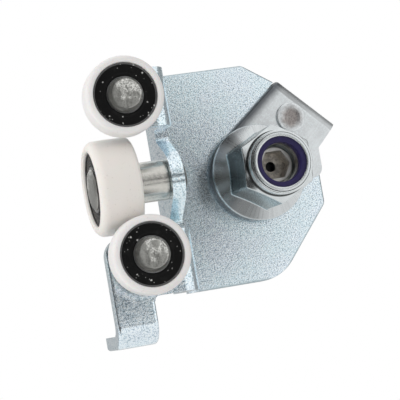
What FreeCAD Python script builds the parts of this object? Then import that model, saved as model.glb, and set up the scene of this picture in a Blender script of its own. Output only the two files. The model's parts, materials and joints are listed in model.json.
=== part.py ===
"""Sliding door roller guide: a folded steel carrier with two guide rollers, one load roller and a pivot stud.

X points right, Y points away from the viewer and Z points up. Lengths are in millimetres.
The pieces are drawn with Y = 0 at the front face of the carrier plate, and are moved as they are saved,
so that the origin is on the stud's axis where its plain pivot meets its collar.
"""
import FreeCAD, Part
import math
import os

from FreeCAD import Vector

# Carrier: one folded steel sheet
sheet = 4.0
bend_inner = 1.2
plate_top = 34.6
plate_bottom = -33.4
plate_right = 21.0
top_cut_x = 1.5
top_cut_z = 21.2
bottom_cut_x = 3.0
bottom_cut_z = -12.3
bottom_corner_radius = 14.0
side_corner_radius = 3.0
plate_edge_round = 0.8
flange_face = -32.6
wall_forward = 11.3
arm_forward = 22.4
upper_arm_half = 8.8
lower_arm_above = 6.7
lower_arm_below = 11.7
lower_arm_corner_radius = 5.4
lug_radius = 8.6
lug_root_above = 11.8
lug_root_below = 12.4
lug_root_radius = 2.0

# Tongue that hangs from the lower arm and turns back
tongue_outset = 11.3
tongue_width = 12.3
tongue_drop = 25.5
tongue_reach = 24.9
tongue_bend_inner = 3.2
tongue_end_radius = 4.0
tongue_edge_round = 1.0
tongue_root_radius = 1.5

# Places of the roller axes
guide_outset = 11.8
load_z = 1.1
load_forward = 14.8

# Guide rollers
guide_bore = 4.0
guide_inner_wall = 1.4
guide_race_height = 3.9
guide_ring_wall = 1.1
guide_groove_depth = 0.2
guide_bearing_width = 7.0
guide_ball_count = 7
guide_tyre_wall = 1.25
guide_tyre_width = 8.5
guide_tyre_round = 1.3
guide_collar_radius = 6.2
guide_collar_length = 3.4
guide_head_inset = 0.3
guide_head_height = 2.6

# Load roller
load_bore = 5.0
load_inner_wall = 1.9
load_race_height = 4.2
load_ring_wall = 1.2
load_groove_depth = 0.6
load_bearing_width = 11.0
load_ball_count = 8
load_tyre_wall = 2.0
load_tyre_width = 13.0
load_tyre_round = 1.2
load_collar_radius = 6.1
load_collar_length = 10.9
load_head_inset = 0.8
load_head_height = 2.0

# Details that every roller shares
tyre_lip = 0.35
seal_thickness = 0.9
seal_dip = 0.22
seal_seat_ledge = 0.5
cage_wall = 1.6
cage_back = 0.5
cage_open = 0.7
collar_relief = 0.8
collar_seat_inset = 0.2
head_land = 0.6
head_slope = 0.8
head_dish_radius = 1.7
head_dish_depth = 0.35
tenon_radius = 3.6
tenon_head_radius = 5.6
tenon_head_height = 2.0
tenon_head_flat = 3.4
tenon_head_rim = 0.7

# Lock plate under the nut, with its end bent over the edge of the carrier
lock_sheet = 3.0
lock_angle = 45.0
lock_lobe_radius = 14.6
lock_near_edge = 11.3
lock_far_edge = 11.6
lock_heel_bottom = -3.2
lock_heel_drop = 5.8
lock_end_margin = 4.6
lock_lip_depth = 3.6
lock_bend_inner = 0.4
lock_edge_round = 1.2
rivet_across = 1.6
rivet_radius = 3.2
rivet_head_radius = 4.7
rivet_head_height = 0.8
rivet_head_round = 0.5

# Pivot stud and its flange nut with a locking insert
stud_thread_radius = 6.0
stud_end = 18.5
stud_end_chamfer = 0.8
socket_flats = 8.0
socket_turn = 0.0
socket_depth = 5.0
socket_drill_radius = 1.5
socket_drill_depth = 3.0
stud_collar_radius = 11.0
stud_collar_height = 4.0
stud_collar_round = 0.8
pivot_radius = 8.0
pivot_length = 16.0
pivot_chamfer = 1.2
nut_flange_radius = 15.0
nut_flange_rim = 1.6
nut_flange_round = 0.7
nut_flange_rise = 5.0
nut_flats = 21.0
nut_hex_height = 22.0
nut_turn = 28.0
nut_chamfer_angle = 30.0
nut_height = 26.0
crown_radius = 9.4
crown_wall = 1.0
crown_round = 1.0
crown_hold = 0.5
crown_lip = 0.7
insert_wall = 2.7
insert_round = 0.5
insert_height = 2.8

# Clearances
press_gap = 0.01
race_gap = 0.03
pocket_gap = 0.12
seal_gap = 0.1
thread_gap = 0.02
hole_gap = 0.02
lip_gap = 0.15
rivet_gap = 1.15
upper_guide_gap = 2.61
lower_guide_gap = 0.62

# How far cutting shapes run past what they cut, and how near two sizes count as equal
margin = 5.0
overrun = 20.0
tolerance = 1e-4


def roller_sizes(bore, inner_wall, race_height, ring_wall, groove_depth, tyre_wall):
    """Radii of a roller's layers, from the pin outwards."""
    shoulder = bore + inner_wall
    seal = shoulder + race_height
    land = seal - seal_seat_ledge
    return {
        "bore": bore,
        "inner_shoulder": shoulder,
        "seal_radius": seal,
        "land": land,
        "race_radius": (shoulder + land) / 2,
        "ball_radius": (land - shoulder) / 2 + groove_depth,
        "ring_radius": seal + ring_wall,
        "tyre_radius": seal + ring_wall + tyre_wall,
    }


guide_size = roller_sizes(
    guide_bore, guide_inner_wall, guide_race_height, guide_ring_wall, guide_groove_depth, guide_tyre_wall
)
guide_size["bearing_width"] = guide_bearing_width
guide_size["ball_count"] = guide_ball_count
guide_size["tyre_width"] = guide_tyre_width
guide_size["tyre_round"] = guide_tyre_round
guide_size["collar_radius"] = guide_collar_radius
guide_size["collar_length"] = guide_collar_length
guide_size["head_radius"] = guide_size["inner_shoulder"] - guide_head_inset
guide_size["head_height"] = guide_head_height

load_size = roller_sizes(
    load_bore, load_inner_wall, load_race_height, load_ring_wall, load_groove_depth, load_tyre_wall
)
load_size["bearing_width"] = load_bearing_width
load_size["ball_count"] = load_ball_count
load_size["tyre_width"] = load_tyre_width
load_size["tyre_round"] = load_tyre_round
load_size["collar_radius"] = load_collar_radius
load_size["collar_length"] = load_collar_length
load_size["head_radius"] = load_size["inner_shoulder"] - load_head_inset
load_size["head_height"] = load_head_height

# Places that follow from the sizes: each guide tyre clears the load tyre, which reaches past its back face
guide_x = flange_face - guide_outset
guide_back = arm_forward + guide_collar_length + (guide_bearing_width - guide_tyre_width) / 2
load_radius = load_size["tyre_radius"]
load_half_height = math.sqrt(max(0.0, load_radius ** 2 - (guide_back - load_forward) ** 2))
upper_guide_z = load_z + load_half_height + guide_size["tyre_radius"] + upper_guide_gap
lower_guide_z = load_z - load_half_height - guide_size["tyre_radius"] - lower_guide_gap

flange_mid = flange_face + sheet / 2
flange_inside = flange_face + sheet
bend_mid = bend_inner + sheet / 2
bend_end = flange_mid + bend_mid
bend_root = bend_end + sheet
arm_front = -arm_forward
arm_back = arm_front + sheet
arm_mid = arm_front + sheet / 2
upper_arm_top = upper_guide_z + upper_arm_half
upper_arm_bottom = upper_guide_z - upper_arm_half
lower_arm_top = lower_guide_z + lower_arm_above
lower_arm_bottom = lower_guide_z - lower_arm_below
lug_root_top = load_z + lug_root_above
lug_root_bottom = load_z - lug_root_below
tongue_left = guide_x - tongue_outset
tongue_right = tongue_left + tongue_width
tongue_mid_z = lower_guide_z - tongue_drop + sheet / 2
tongue_back = arm_front + tongue_reach
tongue_bend_mid = tongue_bend_inner + sheet / 2
rivet_distance = nut_flange_radius + rivet_gap + rivet_head_radius
rivet_along = math.sqrt(rivet_distance ** 2 - rivet_across ** 2)
lock_reach = rivet_along + lock_end_margin
lock_end = lock_reach + lock_sheet
lock_taper = math.asin((lock_lobe_radius - lock_far_edge) / lock_end)
lock_tangent_along = lock_lobe_radius * math.sin(lock_taper)
lock_tangent_across = lock_lobe_radius * math.cos(lock_taper)
lock_far_slope = (lock_tangent_across - lock_far_edge) / (lock_end - lock_tangent_along)
insert_radius = crown_radius - crown_wall
crown_mouth_radius = insert_radius - crown_hold
insert_bore = insert_radius - insert_wall
pivot_seat = sheet + stud_collar_height


def on_y(x, z):
    """Point of the front view, at the front face of the plate."""
    return Vector(x, 0, z)


def rounded_face(corners, radii):
    """Flat face through the corners, each rounded by an arc of its own radius (0 keeps it sharp)."""
    count = len(corners)
    edges = []
    ends = []
    for i in range(count):
        corner = corners[i]
        before = (corners[i - 1] - corner).normalize()
        after = (corners[(i + 1) % count] - corner).normalize()
        if radii[i] == 0:
            ends.append((corner, corner))
            continue
        half = before.getAngle(after) / 2
        back = radii[i] / math.tan(half)
        start = corner + before * back
        end = corner + after * back
        inward = (before + after).normalize()
        middle = corner + inward * (radii[i] / math.sin(half) - radii[i])
        edges.append(Part.Arc(start, middle, end).toShape())
        ends.append((start, end))
    for i in range(count):
        leave = ends[i][1]
        reach = ends[(i + 1) % count][0]
        if leave.distanceToPoint(reach) > tolerance:
            edges.append(Part.makeLine(leave, reach))
    return Part.Face(Part.Wire(Part.__sortEdges__(edges)))


def ribbon(points, bend_radius, thickness, normal):
    """Face of a bent sheet's section: a band along the middle line, with every corner bent to one radius."""
    left = []
    right = []
    start = points[0]
    for i in range(1, len(points)):
        ahead = (points[i] - points[i - 1]).normalize()
        side = normal.cross(ahead) * (thickness / 2)
        if i == len(points) - 1:
            left.append(Part.makeLine(start + side, points[i] + side))
            right.append(Part.makeLine(start - side, points[i] - side))
            continue
        turned = (points[i + 1] - points[i]).normalize()
        turned_side = normal.cross(turned) * (thickness / 2)
        half_turn = ahead.getAngle(turned) / 2
        back = bend_radius * math.tan(half_turn)
        stop = points[i] - ahead * back
        resume = points[i] + turned * back
        inward = (turned - ahead).normalize()
        centre = points[i] + inward * (bend_radius / math.cos(half_turn))
        for chain, first, last in ((left, side, turned_side), (right, side * -1, turned_side * -1)):
            radius = (stop + first - centre).Length
            middle = centre - inward * radius
            chain.append(Part.makeLine(start + first, stop + first))
            chain.append(Part.Arc(stop + first, middle, resume + last).toShape())
        start = resume
    caps = []
    for index in (0, -1):
        ends = left[index].Vertexes[index].Point, right[index].Vertexes[index].Point
        caps.append(Part.makeLine(*ends))
    return Part.Face(Part.Wire(Part.__sortEdges__(left + right + caps)))


def lathe(outline):
    """Solid turned from an outline of (radius, height) pairs about the local Z axis."""
    points = [Vector(radius, 0, height) for radius, height in outline]
    face = Part.Face(Part.makePolygon(points + points[:1]))
    return face.revolve(Vector(0, 0, 0), Vector(0, 0, 1), 360)


def cylinder_y(radius, x, z, front, back):
    """Cylinder along Y between two depths."""
    return Part.makeCylinder(radius, back - front, Vector(x, front, z), Vector(0, 1, 0))


def ring_edges(shape, radius, height):
    """Circular edges of a turned shape at one radius and height."""
    found = []
    for edge in shape.Edges:
        curve = edge.Curve
        if not isinstance(curve, Part.Circle):
            continue
        if abs(curve.Radius - radius) < tolerance and abs(curve.Center.z - height) < tolerance:
            found.append(edge)
    return found


def save(shape, name):
    """Move one node's shape to the pivot's seat and write its STEP file."""
    moved = shape.copy()
    moved.translate(Vector(0, -pivot_seat, 0))
    moved.exportStep("parts/" + name + ".step")


def flat_plate():
    """Flat part of the carrier: cut corners, a broad round at the bottom, and a front edge rounded by the die."""
    corners = [
        on_y(bend_end, plate_top),
        on_y(top_cut_x, plate_top),
        on_y(plate_right, top_cut_z),
        on_y(plate_right, bottom_cut_z),
        on_y(bottom_cut_x, plate_bottom),
        on_y(bend_end, plate_bottom),
    ]
    radii = [0, side_corner_radius, side_corner_radius, side_corner_radius, bottom_corner_radius, 0]
    plate = rounded_face(corners, radii).extrude(Vector(0, sheet, 0))
    rim = []
    for edge in plate.Edges:
        box = edge.BoundBox
        if box.YMax < tolerance and box.XMax > bend_end + tolerance:
            rim.append(edge)
    return plate.makeFillet(plate_edge_round, rim)


def arm_section(tip, low):
    """Section of an arm, seen from above: the plate's edge bent forward and then out to the left."""
    path = [
        Vector(bend_root, sheet / 2, low),
        Vector(flange_mid, sheet / 2, low),
        Vector(flange_mid, arm_mid, low),
        Vector(tip, arm_mid, low),
    ]
    return ribbon(path, bend_mid, sheet, Vector(0, 0, 1))


def front_prism(corners, radii):
    """Prism through the whole depth of the arms, from an outline of the front view."""
    outline = rounded_face([on_y(x, z) for x, z in corners], radii)
    outline.translate(Vector(0, arm_front - margin, 0))
    return outline.extrude(Vector(0, arm_forward + sheet + 2 * margin, 0))


def upper_arm():
    """Upper arm: the plate's edge stepped forward, rounded at its end about the roller's axis."""
    tip = guide_x - upper_arm_half
    band = arm_section(tip, upper_arm_bottom).extrude(Vector(0, 0, 2 * upper_arm_half))
    corners = [
        (tip, upper_arm_bottom),
        (bend_root, upper_arm_bottom),
        (bend_root, upper_arm_top),
        (tip, upper_arm_top),
    ]
    return band.common(front_prism(corners, [upper_arm_half, 0, 0, upper_arm_half]))


def tongue_rims(strip, side):
    """Edges of one side of the tongue's outer face, down its front and along its turned-back end."""
    centre_y = arm_mid + tongue_bend_mid
    centre_z = tongue_mid_z + tongue_bend_mid
    rims = []
    for edge in strip.Edges:
        point = edge.valueAt((edge.FirstParameter + edge.LastParameter) / 2)
        if point.z > centre_z:
            depth = point.y - arm_front
        elif point.y > centre_y:
            depth = point.z - tongue_mid_z + sheet / 2
        else:
            depth = math.hypot(point.y - centre_y, point.z - centre_z) - tongue_bend_inner - sheet
        box = edge.BoundBox
        if abs(box.XMin - side) + abs(box.XMax - side) < tolerance and abs(depth) < tolerance:
            rims.append(edge)
    return rims


def tongue_half(left, right, top, side):
    """Left or right half of the tongue: a strip that runs down and turns back, rounded along its outer side."""
    path = [
        Vector(left, arm_mid, top),
        Vector(left, arm_mid, tongue_mid_z),
        Vector(left, tongue_back, tongue_mid_z),
    ]
    strip = ribbon(path, tongue_bend_mid, sheet, Vector(1, 0, 0)).extrude(Vector(right - left, 0, 0))
    corner = []
    for edge in strip.Edges:
        middle = edge.CenterOfMass
        if abs(middle.y - tongue_back) < tolerance and abs(middle.x - side) < tolerance:
            corner.append(edge)
    strip = strip.makeFillet(tongue_end_radius, corner)
    return strip.makeFillet(tongue_edge_round, tongue_rims(strip, side))


def lower_arm():
    """Lower arm, stepped forward like the upper one, with the tongue that hangs from its outer end."""
    middle = (tongue_left + tongue_right) / 2
    neck_low = lower_arm_bottom - tongue_root_radius
    band = arm_section(middle, lower_arm_bottom).extrude(Vector(0, 0, lower_arm_top - lower_arm_bottom))
    neck = Part.makeBox(tongue_right - middle, sheet, tongue_root_radius, Vector(middle, arm_front, neck_low))
    left = tongue_half(tongue_left, middle, lower_arm_top, tongue_left)
    right = tongue_half(middle, tongue_right, neck_low, tongue_right)
    low = tongue_mid_z - margin
    corners = [(tongue_left, low), (bend_root, low), (bend_root, lower_arm_top), (tongue_left, lower_arm_top)]
    solid = band.fuse([left, right, neck, tongue_root()])
    return solid.common(front_prism(corners, [0, 0, 0, lower_arm_corner_radius]))


def tongue_root():
    """Fillet in the corner between the lower arm and the tongue's right edge."""
    corner = Vector(tongue_right, arm_front, lower_arm_bottom)
    reach = tongue_root_radius
    block = Part.makeBox(reach, sheet, reach, corner - Vector(0, 0, reach))
    return block.cut(cylinder_y(reach, corner.x + reach, corner.z - reach, arm_front, arm_back))


def lug_corner(root_z):
    """Corner where the flank from one root of the lug meets the line that touches the lug's round end in front."""
    back = load_forward - wall_forward
    rise = abs(root_z - load_z)
    touch = math.atan2(rise, back) + math.acos(lug_radius / math.hypot(back, rise))
    middle = (touch + math.pi) / 2
    out = lug_radius / math.cos((math.pi - touch) / 2)
    side = math.copysign(out * math.sin(middle), root_z - load_z)
    return (-load_forward + out * math.cos(middle), load_z + side)


def wall_and_lug():
    """Wall bent forward from the plate's edge between the arms, and the round lug that stands out of it."""
    low = lower_arm_top - margin
    high = upper_arm_bottom + margin
    path = [
        Vector(bend_root, sheet / 2, low),
        Vector(flange_mid, sheet / 2, low),
        Vector(flange_mid, -load_forward - lug_radius, low),
    ]
    band = ribbon(path, bend_mid, sheet, Vector(0, 0, 1)).extrude(Vector(0, 0, high - low))
    corners = [
        (sheet + margin, low),
        (sheet + margin, high),
        (-wall_forward, high),
        (-wall_forward, lug_root_top),
        lug_corner(lug_root_top),
        lug_corner(lug_root_bottom),
        (-wall_forward, lug_root_bottom),
        (-wall_forward, low),
    ]
    radii = [0, 0, 0, lug_root_radius, lug_radius, lug_radius, lug_root_radius, 0]
    outline = rounded_face([Vector(flange_face - margin, y, z) for y, z in corners], radii)
    return band.common(outline.extrude(Vector(bend_root - flange_face + margin, 0, 0)))


def lock_point(along, across, y):
    """Point of the lock plate, given along its own length and across it."""
    turn = math.radians(lock_angle)
    x = along * math.cos(turn) - across * math.sin(turn)
    z = along * math.sin(turn) + across * math.cos(turn)
    return Vector(x, y, z)


def rivet_hole(front, back):
    """Cylinder that cuts the rivet's hole through the lock plate or the carrier."""
    centre = lock_point(rivet_along, rivet_across, 0)
    return cylinder_y(rivet_radius + hole_gap, centre.x, centre.z, front - margin, back + margin)


def stud_hole(front, back):
    """Cylinder that cuts the stud's hole through the lock plate or the carrier."""
    return cylinder_y(stud_thread_radius + hole_gap, 0, 0, front - margin, back + margin)


def lip_notch():
    """Notch in the carrier's cut corner, where the bent end of the lock plate hooks in."""
    low = lock_reach - lock_bend_inner - lip_gap
    high = lock_end + overrun
    near = -lock_near_edge - overrun
    far = lock_far_edge + lip_gap
    corners = [(low, near), (high, near), (high, far), (low, far + (lock_end - low) * lock_far_slope)]
    face = rounded_face([lock_point(along, across, -margin) for along, across in corners], [0, 0, 0, 0])
    return face.extrude(Vector(0, sheet + 2 * margin, 0))


def carrier_plate():
    """Carrier: flat plate, two stepped arms, lug and tongue, folded from one sheet."""
    solid = flat_plate()
    solid = solid.fuse([upper_arm(), lower_arm(), wall_and_lug()])
    solid = solid.removeSplitter()
    tenon_hole = tenon_radius + press_gap
    cuts = [stud_hole(0, sheet), rivet_hole(0, sheet), lip_notch()]
    for z in (upper_guide_z, lower_guide_z):
        cuts.append(cylinder_y(tenon_hole, guide_x, z, arm_front - margin, arm_back + margin))
    lug_start = Vector(flange_face - margin, -load_forward, load_z)
    cuts.append(Part.makeCylinder(tenon_hole, sheet + 2 * margin, lug_start, Vector(1, 0, 0)))
    return solid.cut(cuts)


def lock_tail():
    """Tapered tail of the lock plate, whose end is bent back over the carrier's edge."""
    front = -lock_sheet
    bend_line = lock_reach + lock_sheet / 2
    path = [
        lock_point(0, -lock_near_edge, front / 2),
        lock_point(bend_line, -lock_near_edge, front / 2),
        lock_point(bend_line, -lock_near_edge, lock_lip_depth),
    ]
    across = lock_point(0, 1, 0)
    width = lock_near_edge + lock_lobe_radius
    bend_radius = lock_bend_inner + lock_sheet / 2
    strip = ribbon(path, bend_radius, lock_sheet, across).extrude(across * width)
    corners = [
        (0, -lock_near_edge),
        (lock_end + margin, -lock_near_edge),
        (lock_end + margin, lock_far_edge),
        (lock_end, lock_far_edge),
        (lock_tangent_along, lock_tangent_across),
        (0, lock_tangent_across),
    ]
    points = [lock_point(along, side, front - margin) for along, side in corners]
    outline = rounded_face(points, [0] * len(points))
    return strip.common(outline.extrude(Vector(0, lock_sheet + lock_lip_depth + 2 * margin, 0)))


def lock_heel():
    """Heel of the lock plate, which fills the corner between the lobe, the tail and the carrier's right edge."""
    front = -lock_sheet
    near_corner = lock_near_edge * math.sqrt(2)
    corners = [
        (0, 0),
        (0, lock_heel_bottom - lock_heel_drop),
        (plate_right, lock_heel_bottom),
        (plate_right, plate_right - near_corner),
    ]
    outline = rounded_face([Vector(x, front, z) for x, z in corners], [0, 0, side_corner_radius, 0])
    return outline.extrude(Vector(0, lock_sheet, 0))


def lock_far_rim(solid):
    """Front edges of the lock plate along its tapered side."""
    middle_along = (lock_tangent_along + lock_reach) / 2
    middle_across = lock_far_edge + (lock_end - middle_along) * lock_far_slope
    middle = Part.Vertex(lock_point(middle_along, middle_across, -lock_sheet))
    return [edge for edge in solid.Edges if edge.distToShape(middle)[0] < tolerance]


def lock_plate():
    """Lock plate: a lobe round the stud, a heel and a tapered tail with a bent end and a rounded side."""
    lobe = cylinder_y(lock_lobe_radius, 0, 0, -lock_sheet, 0)
    solid = lock_tail().fuse([lobe, lock_heel()]).removeSplitter()
    solid = solid.makeFillet(lock_edge_round, lock_far_rim(solid))
    return solid.cut([stud_hole(-lock_sheet, 0), rivet_hole(-lock_sheet, 0)])


def lock_plate_rivet():
    """Flat-headed rivet that holds the lock plate to the carrier, peened flush at the back."""
    centre = lock_point(rivet_along, rivet_across, 0)
    face = -lock_sheet - rivet_head_height
    head = cylinder_y(rivet_head_radius, centre.x, centre.z, face, -lock_sheet)
    rim = [edge for edge in head.Edges if abs(edge.CenterOfMass.y - face) < tolerance]
    head = head.makeFillet(rivet_head_round, rim)
    shank = cylinder_y(rivet_radius, centre.x, centre.z, -lock_sheet, sheet)
    return head.fuse(shank).removeSplitter()


def facing_front(shape, x, y, z):
    """Move a turned piece from its own Z axis so that its outer end looks towards the viewer."""
    shape.Placement = FreeCAD.Placement(Vector(x, y, z), FreeCAD.Rotation(Vector(1, 0, 0), 90))
    return shape


def facing_left(shape, x, y, z):
    """Move a turned piece from its own Z axis so that its outer end looks to the left."""
    shape.Placement = FreeCAD.Placement(Vector(x, y, z), FreeCAD.Rotation(Vector(0, 1, 0), -90))
    return shape


def hex_prism(flats, first_corner, low, high):
    """Six-sided prism about the local Z axis, with its first corner this many degrees from X."""
    corner = flats / math.sqrt(3)
    points = []
    for i in range(6):
        turn = math.radians(first_corner + 60 * i)
        points.append(Vector(corner * math.cos(turn), corner * math.sin(turn), low))
    return Part.Face(Part.makePolygon(points + points[:1])).extrude(Vector(0, 0, high - low))


def pivot_stud():
    """Stud: threaded end with a hexagon socket in front, collar and plain pivot at the back."""
    seat = -lock_sheet - sheet
    collar = seat - stud_collar_height
    tail = collar - pivot_length
    body = lathe(
        [
            (0, tail),
            (pivot_radius - pivot_chamfer, tail),
            (pivot_radius, tail + pivot_chamfer),
            (pivot_radius, collar),
            (stud_collar_radius, collar),
            (stud_collar_radius, seat),
            (stud_thread_radius, seat),
            (stud_thread_radius, stud_end - stud_end_chamfer),
            (stud_thread_radius - stud_end_chamfer, stud_end),
            (0, stud_end),
        ]
    )
    body = body.makeFillet(stud_collar_round, ring_edges(body, stud_collar_radius, collar))
    floor = stud_end - socket_depth
    body = body.cut(hex_prism(socket_flats, socket_turn, floor, stud_end + margin))
    drill = Part.makeCylinder(socket_drill_radius, socket_drill_depth, Vector(0, 0, floor - socket_drill_depth))
    return facing_front(body.cut(drill), 0, -lock_sheet, 0)


def nut_hexagon():
    """Six-sided body of the nut, with the corners of its outer end turned off to a cone."""
    corner = nut_flats / math.sqrt(3)
    chamfer = (corner - crown_radius) * math.tan(math.radians(nut_chamfer_angle))
    turned = lathe(
        [
            (0, 0),
            (corner, 0),
            (corner, nut_hex_height - chamfer),
            (crown_radius, nut_hex_height),
            (0, nut_hex_height),
        ]
    )
    return hex_prism(nut_flats, nut_turn, 0, nut_hex_height).common(turned)


def nut_flange():
    """Conical flange of the nut with a rounded rim."""
    flange = lathe(
        [
            (0, 0),
            (nut_flange_radius, 0),
            (nut_flange_radius, nut_flange_rim),
            (nut_flats / 2, nut_flange_rise),
            (0, nut_flange_rise),
        ]
    )
    return flange.makeFillet(nut_flange_round, ring_edges(flange, nut_flange_radius, nut_flange_rim))


def flange_nut():
    """Flange nut: conical flange, hexagon with a turned chamfer, and a round crown that holds the insert."""
    crown = lathe([(0, 0), (crown_radius, 0), (crown_radius, nut_height), (0, nut_height)])
    crown = crown.makeFillet(crown_round, ring_edges(crown, crown_radius, nut_height))
    bore = stud_thread_radius + thread_gap
    seat = insert_radius + press_gap
    insert_top = nut_height - crown_lip
    insert_low = insert_top - insert_height
    hollow = lathe(
        [
            (0, -margin),
            (bore, -margin),
            (bore, insert_low),
            (seat, insert_low),
            (seat, insert_top),
            (crown_mouth_radius, insert_top),
            (crown_mouth_radius, nut_height + margin),
            (0, nut_height + margin),
        ]
    )
    body = nut_hexagon().fuse([nut_flange(), crown]).cut(hollow)
    return facing_front(body, 0, -lock_sheet, 0)


def nut_insert():
    """Locking ring of nylon, held in the nut's crown."""
    top = nut_height - crown_lip
    low = top - insert_height
    body = lathe([(insert_bore, low), (insert_radius, low), (insert_radius, top), (insert_bore, top)])
    body = body.makeFillet(insert_round, ring_edges(body, insert_bore, top))
    return facing_front(body, 0, -lock_sheet, 0)


class Roller:
    """Sealed ball-bearing roller on a riveted pin, drawn about its own Z axis.

    Its own origin is on the face of the sheet that carries it, and its peened head is at the top.
    """

    def __init__(self, size, place):
        self.size = size
        self.place = place
        self.low = size["collar_length"]
        self.high = self.low + size["bearing_width"]
        self.middle = (self.low + self.high) / 2

    def groove_tool(self):
        """Torus that cuts the ball grooves of both rings."""
        centre = Vector(0, 0, self.middle)
        groove = self.size["ball_radius"] + race_gap
        return Part.makeTorus(self.size["race_radius"], groove, centre, Vector(0, 0, 1))

    def inner_ring(self):
        """Inner ring with its ball groove, seated between the collar and the peened head."""
        bore = self.size["bore"] + press_gap
        shoulder = self.size["inner_shoulder"]
        ring = lathe([(bore, self.low), (shoulder, self.low), (shoulder, self.high), (bore, self.high)])
        return self.place(ring.cut(self.groove_tool()))

    def outer_ring(self):
        """Outer ring with its ball groove and a seat for a seal at each end."""
        outside = self.size["ring_radius"]
        seat = self.size["seal_radius"]
        land = self.size["land"]
        ring = lathe(
            [
                (outside, self.low),
                (outside, self.high),
                (seat, self.high),
                (seat, self.high - seal_thickness),
                (land, self.high - seal_thickness),
                (land, self.low + seal_thickness),
                (seat, self.low + seal_thickness),
                (seat, self.low),
            ]
        )
        return self.place(ring.cut(self.groove_tool()))

    def seal(self, at_top):
        """Rubber seal, pressed into the outer ring and clear of the inner one, with a shallow ring groove."""
        inside = self.size["inner_shoulder"] + seal_gap
        outside = self.size["seal_radius"] - press_gap
        dent = (outside - inside) / 4
        outline = [
            (inside, 0),
            (outside, 0),
            (outside, seal_thickness),
            (outside - dent / 2, seal_thickness),
            (outside - dent, seal_thickness - seal_dip),
            (inside + dent, seal_thickness - seal_dip),
            (inside + dent / 2, seal_thickness),
            (inside, seal_thickness),
        ]
        if at_top:
            outline = [(radius, self.high - seal_thickness + height) for radius, height in outline]
        else:
            outline = [(radius, self.low + seal_thickness - height) for radius, height in outline]
        return self.place(lathe(outline))

    def ball_centres(self):
        """Centres of the balls, evenly spaced on the race."""
        centres = []
        for i in range(self.size["ball_count"]):
            turn = 2 * math.pi * i / self.size["ball_count"]
            x = self.size["race_radius"] * math.cos(turn)
            y = self.size["race_radius"] * math.sin(turn)
            centres.append(Vector(x, y, self.middle))
        return centres

    def balls(self):
        """Ring of steel balls."""
        spheres = [Part.makeSphere(self.size["ball_radius"], centre) for centre in self.ball_centres()]
        return self.place(Part.makeCompound(spheres))

    def cage(self):
        """Moulded ring with an open pocket for each ball."""
        ball = self.size["ball_radius"]
        low = self.middle - ball + cage_open
        high = self.middle + ball + cage_back
        inside = self.size["race_radius"] - cage_wall / 2
        outside = self.size["race_radius"] + cage_wall / 2
        ring = lathe([(inside, low), (outside, low), (outside, high), (inside, high)])
        pockets = [Part.makeSphere(ball + pocket_gap, centre) for centre in self.ball_centres()]
        return self.place(ring.cut(pockets))

    def tyre(self):
        """White tyre moulded over the outer ring, with a thin lip over each of its faces."""
        low = self.middle - self.size["tyre_width"] / 2
        high = self.middle + self.size["tyre_width"] / 2
        outside = self.size["tyre_radius"]
        seat = self.size["ring_radius"] + press_gap
        lip = self.size["seal_radius"] + tyre_lip
        tyre = lathe(
            [
                (lip, low),
                (outside, low),
                (outside, high),
                (lip, high),
                (lip, self.high),
                (seat, self.high),
                (seat, self.low),
                (lip, self.low),
            ]
        )
        rims = ring_edges(tyre, outside, low) + ring_edges(tyre, outside, high)
        return self.place(tyre.makeFillet(self.size["tyre_round"], rims))

    def pin(self):
        """Stepped pin: tenon riveted through the sheet, collar, bearing journal and peened head."""
        size = self.size
        head = size["head_radius"]
        top = self.high + size["head_height"]
        foot = -sheet
        tail = foot - tenon_head_height
        collar = size["collar_radius"]
        collar_seat = min(collar, size["inner_shoulder"]) - collar_seat_inset
        outline = [
            (0, tail),
            (tenon_head_flat, tail),
            (tenon_head_radius, foot - tenon_head_rim),
            (tenon_head_radius, foot),
            (tenon_radius, foot),
            (tenon_radius, 0),
            (collar, 0),
            (collar, self.low - collar_relief),
            (collar_seat, self.low),
            (size["bore"], self.low),
            (size["bore"], self.high),
            (head, self.high),
            (head, self.high + head_land),
            (head - head_slope, top),
            (head_dish_radius, top),
            (0, top - head_dish_depth),
        ]
        return self.place(lathe(outline))

    def save_all(self, name):
        """Write the STEP files of all the roller's pieces."""
        save(self.pin(), name + "_pin")
        save(self.inner_ring(), name + "_inner_ring")
        save(self.outer_ring(), name + "_outer_ring")
        save(self.balls(), name + "_balls")
        save(self.cage(), name + "_cage")
        save(self.seal(True), name + "_outer_seal")
        save(self.seal(False), name + "_inner_seal")
        save(self.tyre(), name + "_tyre")


def at_upper_guide(shape):
    """Put a roller's piece on the upper arm."""
    return facing_front(shape, guide_x, arm_front, upper_guide_z)


def at_lower_guide(shape):
    """Put a roller's piece on the lower arm."""
    return facing_front(shape, guide_x, arm_front, lower_guide_z)


def at_load(shape):
    """Put a roller's piece on the lug."""
    return facing_left(shape, flange_face, -load_forward, load_z)


os.makedirs("parts", exist_ok=True)
save(carrier_plate(), "carrier_plate")
save(lock_plate(), "lock_plate")
save(lock_plate_rivet(), "lock_plate_rivet")
save(pivot_stud(), "pivot_stud")
save(flange_nut(), "flange_nut")
save(nut_insert(), "nut_insert")
Roller(guide_size, at_upper_guide).save_all("upper_guide")
Roller(guide_size, at_lower_guide).save_all("lower_guide")
Roller(load_size, at_load).save_all("load_roller")
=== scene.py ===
import functools
import json
import math

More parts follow.
